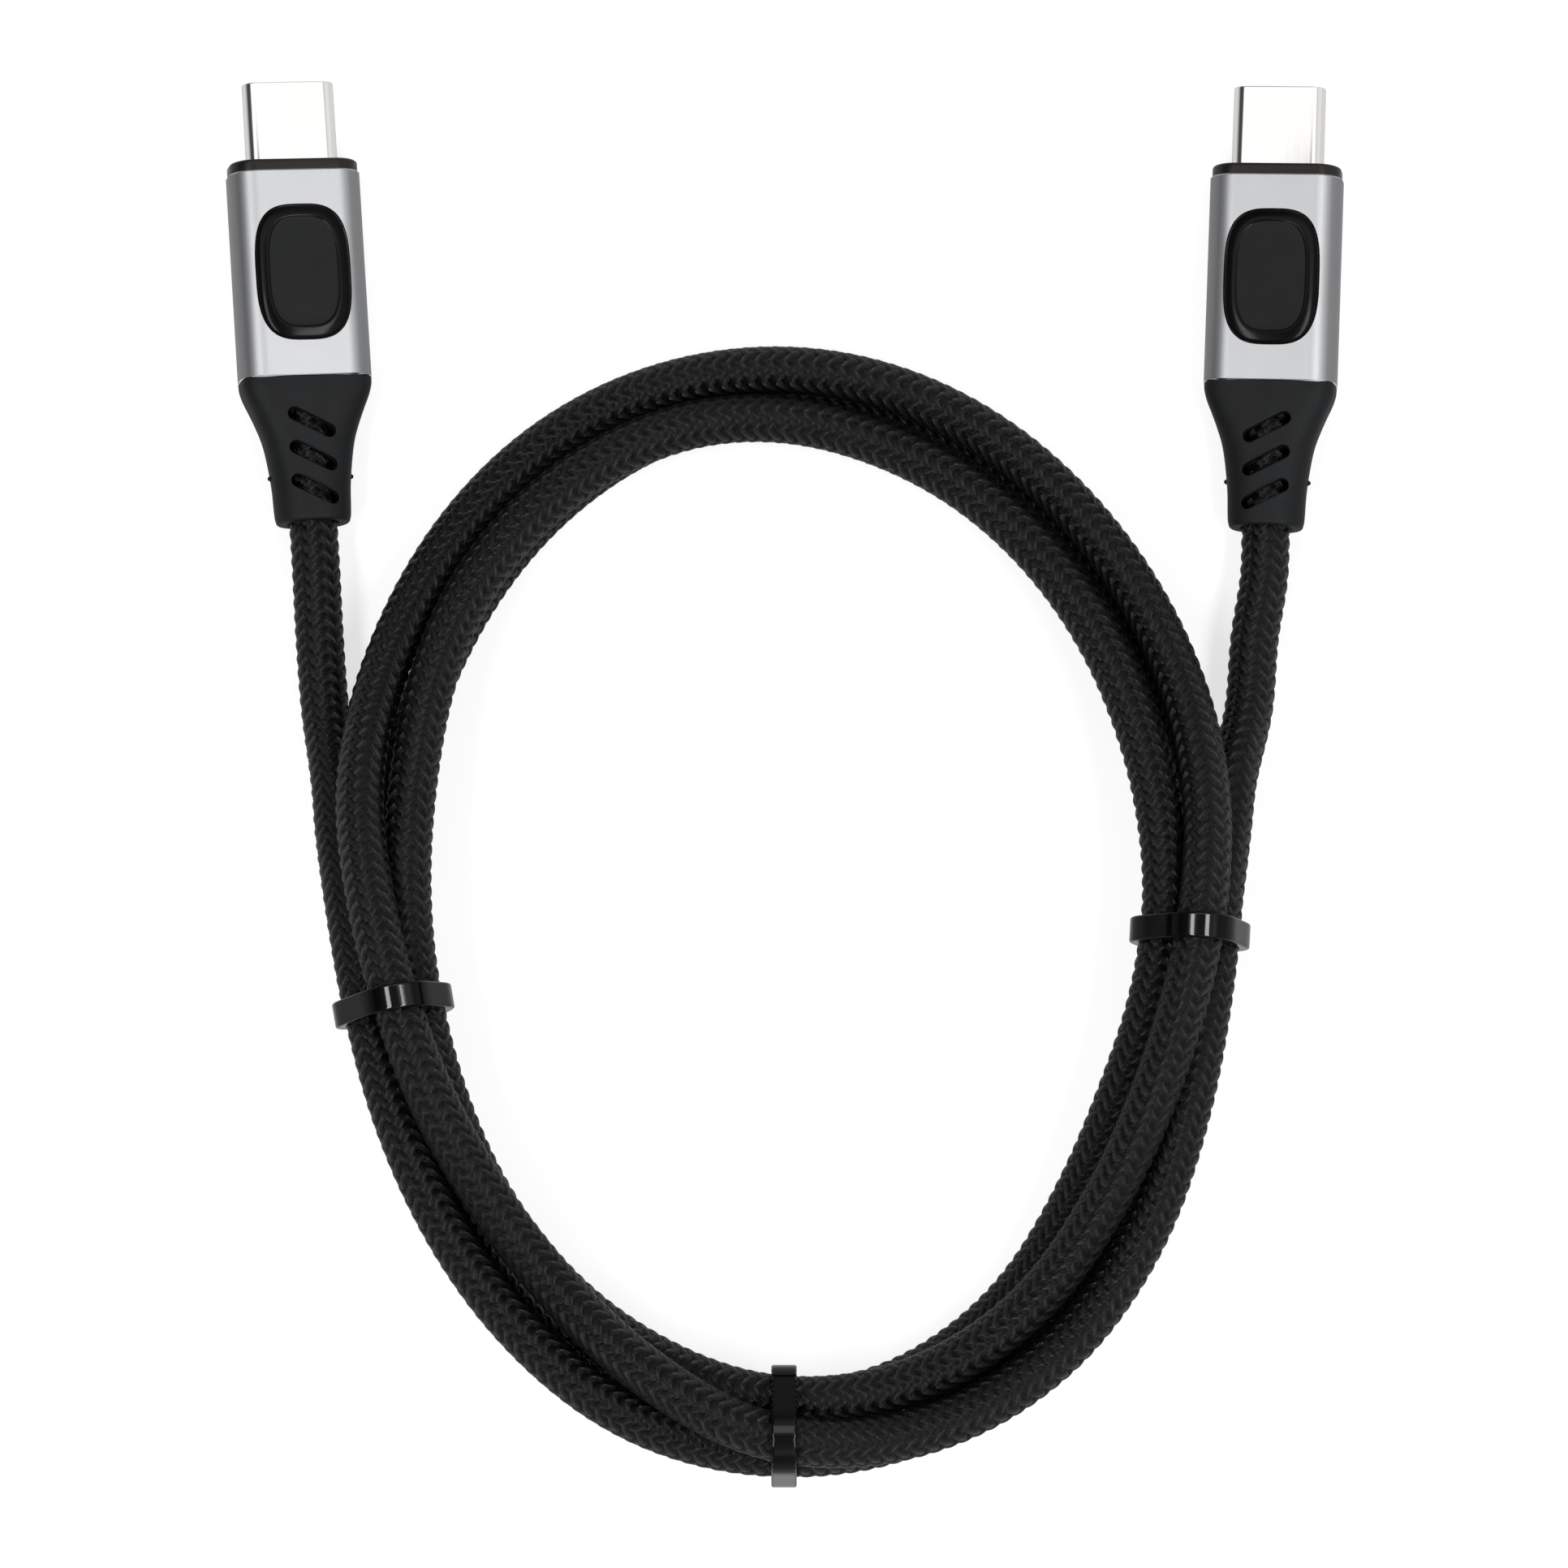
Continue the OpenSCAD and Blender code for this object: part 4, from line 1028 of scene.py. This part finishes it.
def strap_section(half_w):
    """The strap's section: (outwards from its inner face, across), outer edges rounded."""
    corners = [(TIE_T, half_w), (0, half_w), (0, -half_w), (TIE_T, -half_w)]
    radii = [TIE_EDGE, TIE_INNER_EDGE, TIE_INNER_EDGE, TIE_EDGE]
    points = []
    for (t, w), r, turn in zip(corners, radii, (0, 90, 180, 270)):
        ct = t - r if t > 0 else t + r
        cw = w - r if w > 0 else w + r
        for k in range(TIE_EDGE_STEPS + 1):
            a = radians(turn + 90 * k / TIE_EDGE_STEPS)
            points.append((ct + r * cos(a), cw + r * sin(a)))
    brim = half_w - TIE_EDGE - TIE_BRIM
    return [(TIE_T, brim)] + points + [(TIE_T, -brim)]


def add_tie(name, angle):
    """A strap pulled tight round the strands, with its head below them."""
    strands, out = tied_strands(angle), outward(angle)
    turn = Matrix.Rotation(atan2(out.y, out.x), 4, "Z")
    matrix = Matrix.Scale(MM, 4) @ Matrix.Translation(bundle_mid(angle)) @ turn
    ridges = TIE_RIDGE if name in RIDGED_TIES else 0
    sections = [strap_section(TIE_W / 2), strap_section(TIE_W / 2 - ridges)]
    rings = []
    for k, (u, v, nu, nv) in enumerate(band_line(strands, TIE_INNER_R)):
        rings.append([Vector((u + nu * t, w, v + nv * t)) for t, w in sections[k // RIDGE_RINGS % 2]])
    strap = add_loft(f"{name}_strap", matrix, rings, TIE, looped=True)
    finish_piece(sharpen(strap, 60), "cable_tie", name)
    low_u, low_v = min(strands, key=lambda s: s[1])
    add_tie_head(name, matrix, low_u, low_v - CORD_D / 2 - SEAT_GAP - HEAD_H)


def stack(name, matrix, middle, foot, layers):
    """A piece of a tie, from outlines that lie flat at heights over the head's foot."""
    rings = [[Vector((middle + x, y, foot + z)) for x, y in outline] for outline, z in layers]
    return add_loft(name, matrix, rings, TIE)


def add_tie_head(name, matrix, middle, foot):
    """The head's box with rounded edges, and the strap's cut tail in its mouth."""
    profile = HEAD_FOOT + [(i, HEAD_H - HEAD_EDGE + a) for i, a in round_steps(HEAD_EDGE, HEAD_STEPS)]
    box = [(rounded_outline(HEAD_W, HEAD_LEN, HEAD_CORNER, inset), z) for inset, z in profile]
    head = stack(f"{name}_head", matrix, middle, foot, box)
    mouth_w, wide = TIE_T + MOUTH_PLAY, 2 * MOUTH_FLARE
    mouth = rounded_outline(mouth_w, TIE_W, MOUTH_CORNER)
    flare = rounded_outline(mouth_w + wide, TIE_W + wide, MOUTH_CORNER)
    layers = [(flare, -1), (flare, 0), (mouth, MOUTH_FLARE), (mouth, MOUTH_DEPTH)]
    cut(head, sharpen(stack("cutter", matrix, middle, foot, layers), ALL_SMOOTH))
    end = rounded_outline(TIE_T, TIE_W - TAIL_PLAY, TAIL_CORNER)
    layers = [(end, TAIL_LOW), (end, HEAD_H - TAIL_BELOW_TOP)]
    tail = stack(f"{name}_tail", matrix, middle + TAIL_PLACE, foot, layers)
    finish_piece(sharpen(tail, 40), "cable_tie")
    finish_piece(sharpen(head, 40), "cable_tie")


for tie_name, tie_angle in TIE_ANGLES.items():
    add_tie(tie_name, tie_angle)

# ---- Floor, backdrop and lamps ----

# Lengths from here on are metres. The camera sees the floor's first glow and
# reflections see the second
FLOOR_Z = -0.1 * MM         # just clear of the cord's braid and the tie heads
FLOOR_HALF = 3.0
FLOOR_GREY = 0.45
FLOOR_GLOW, FLOOR_GLOW_REFLECTED = 0.68, 0.18
WORLD_LIGHT = 0.45
# What reflections see of the room, left and right of the object: height of the
# direction (0 level, 1 straight up) and brightness
ROOM_LEFT = [(0, 0.55), (0.2, 0.4), (0.34, 0.06), (0.66, 0.06), (0.8, 0.12), (1, 0.12)]
ROOM_RIGHT = [(0, 0.75), (0.2, 0.8), (0.34, 0.85), (0.66, 0.8), (0.8, 0.3), (1, 0.1)]
ROOM_SIDES = (-0.2, 0.2)
# A bright panel beyond the plugs: the heights it covers and where it starts
PANEL = [(0.74, 0), (0.8, 1), (0.95, 1), (0.97, 0.1)]
PANEL_EDGE = (0.12, 0.17)
PANEL_LIGHT = 1.15
# The right one of two like softboxes: its middle, width and length, and watts
SOFTBOX_PLACE, SOFTBOX_SIZE, SOFTBOX_POWER = (0.34, -0.18, 0.75), (0.19, 0.7), 3.5


def add_floor():
    """Pale floor that shows white to the camera and keeps the object's shadow."""
    corners = [
        (x * FLOOR_HALF, y * FLOOR_HALF, FLOOR_Z) for x, y in ((-1, -1), (1, -1), (1, 1), (-1, 1))]
    material = new_material("floor", grey(FLOOR_GREY), 0.9, Specular_IOR_Level=0.1,
                            Emission_Color=(1, 1, 1, 1))
    n = Nodes(material)
    ray = n.add("ShaderNodeLightPath").outputs
    shown = n.math("MULTIPLY", ray["Is Camera Ray"], FLOOR_GLOW)
    reflected = n.math("MULTIPLY", ray["Is Glossy Ray"], FLOOR_GLOW_REFLECTED)
    n.feed(n.shader.inputs["Emission Strength"], n.math("ADD", shown, reflected))
    add_mesh("floor", corners, [(0, 1, 2, 3)], material)


def add_world():
    """Soft light from all round. The camera sees white, and reflections see a room with a panel."""
    world = bpy.data.worlds.new("studio")
    bpy.context.scene.world = world
    world.use_nodes = True
    n = Nodes(world, "Background")
    ray = n.add("ShaderNodeLightPath").outputs
    way = n.add("ShaderNodeSeparateXYZ", {0: n.coords.outputs["Generated"]}).outputs
    to_right = n.remap(way["X"], *ROOM_SIDES, 0, 1)
    room = n.mix_color(to_right, n.ramp(way["Z"], ROOM_LEFT), n.ramp(way["Z"], ROOM_RIGHT))
    beyond = n.remap(way["Y"], *PANEL_EDGE, 0, 1)
    panel = n.mix_color(beyond, grey(0), n.ramp(way["Z"], PANEL))
    room = n.mix_color(panel, room, grey(PANEL_LIGHT))
    lit = n.mix_color(ray["Is Glossy Ray"], grey(WORLD_LIGHT), room)
    n.feed(n.shader.inputs["Color"], n.mix_color(ray["Is Camera Ray"], lit, grey(1)))
    n.shader.inputs["Strength"].default_value = 1.0


def add_softbox(side):
    """A long soft lamp above the object, its length along Y."""
    data = bpy.data.lights.new("softbox", "AREA")
    data.shape = "RECTANGLE"
    data.size, data.size_y = SOFTBOX_SIZE
    data.energy = SOFTBOX_POWER
    lamp = bpy.data.objects.new("softbox", data)
    bpy.context.scene.collection.objects.link(lamp)
    place = Vector((side * SOFTBOX_PLACE[0], *SOFTBOX_PLACE[1:]))
    back = place.normalized()
    along = (Vector((0, 1, 0)) - back * back.y).normalized()
    turn = Matrix((along.cross(back), along, back)).transposed()
    lamp.matrix_world = Matrix.Translation(place) @ turn.to_4x4()


add_floor()
add_world()
for lamp_side in (-1, 1):
    add_softbox(lamp_side)

bpy.context.scene.view_settings.view_transform = "Standard"
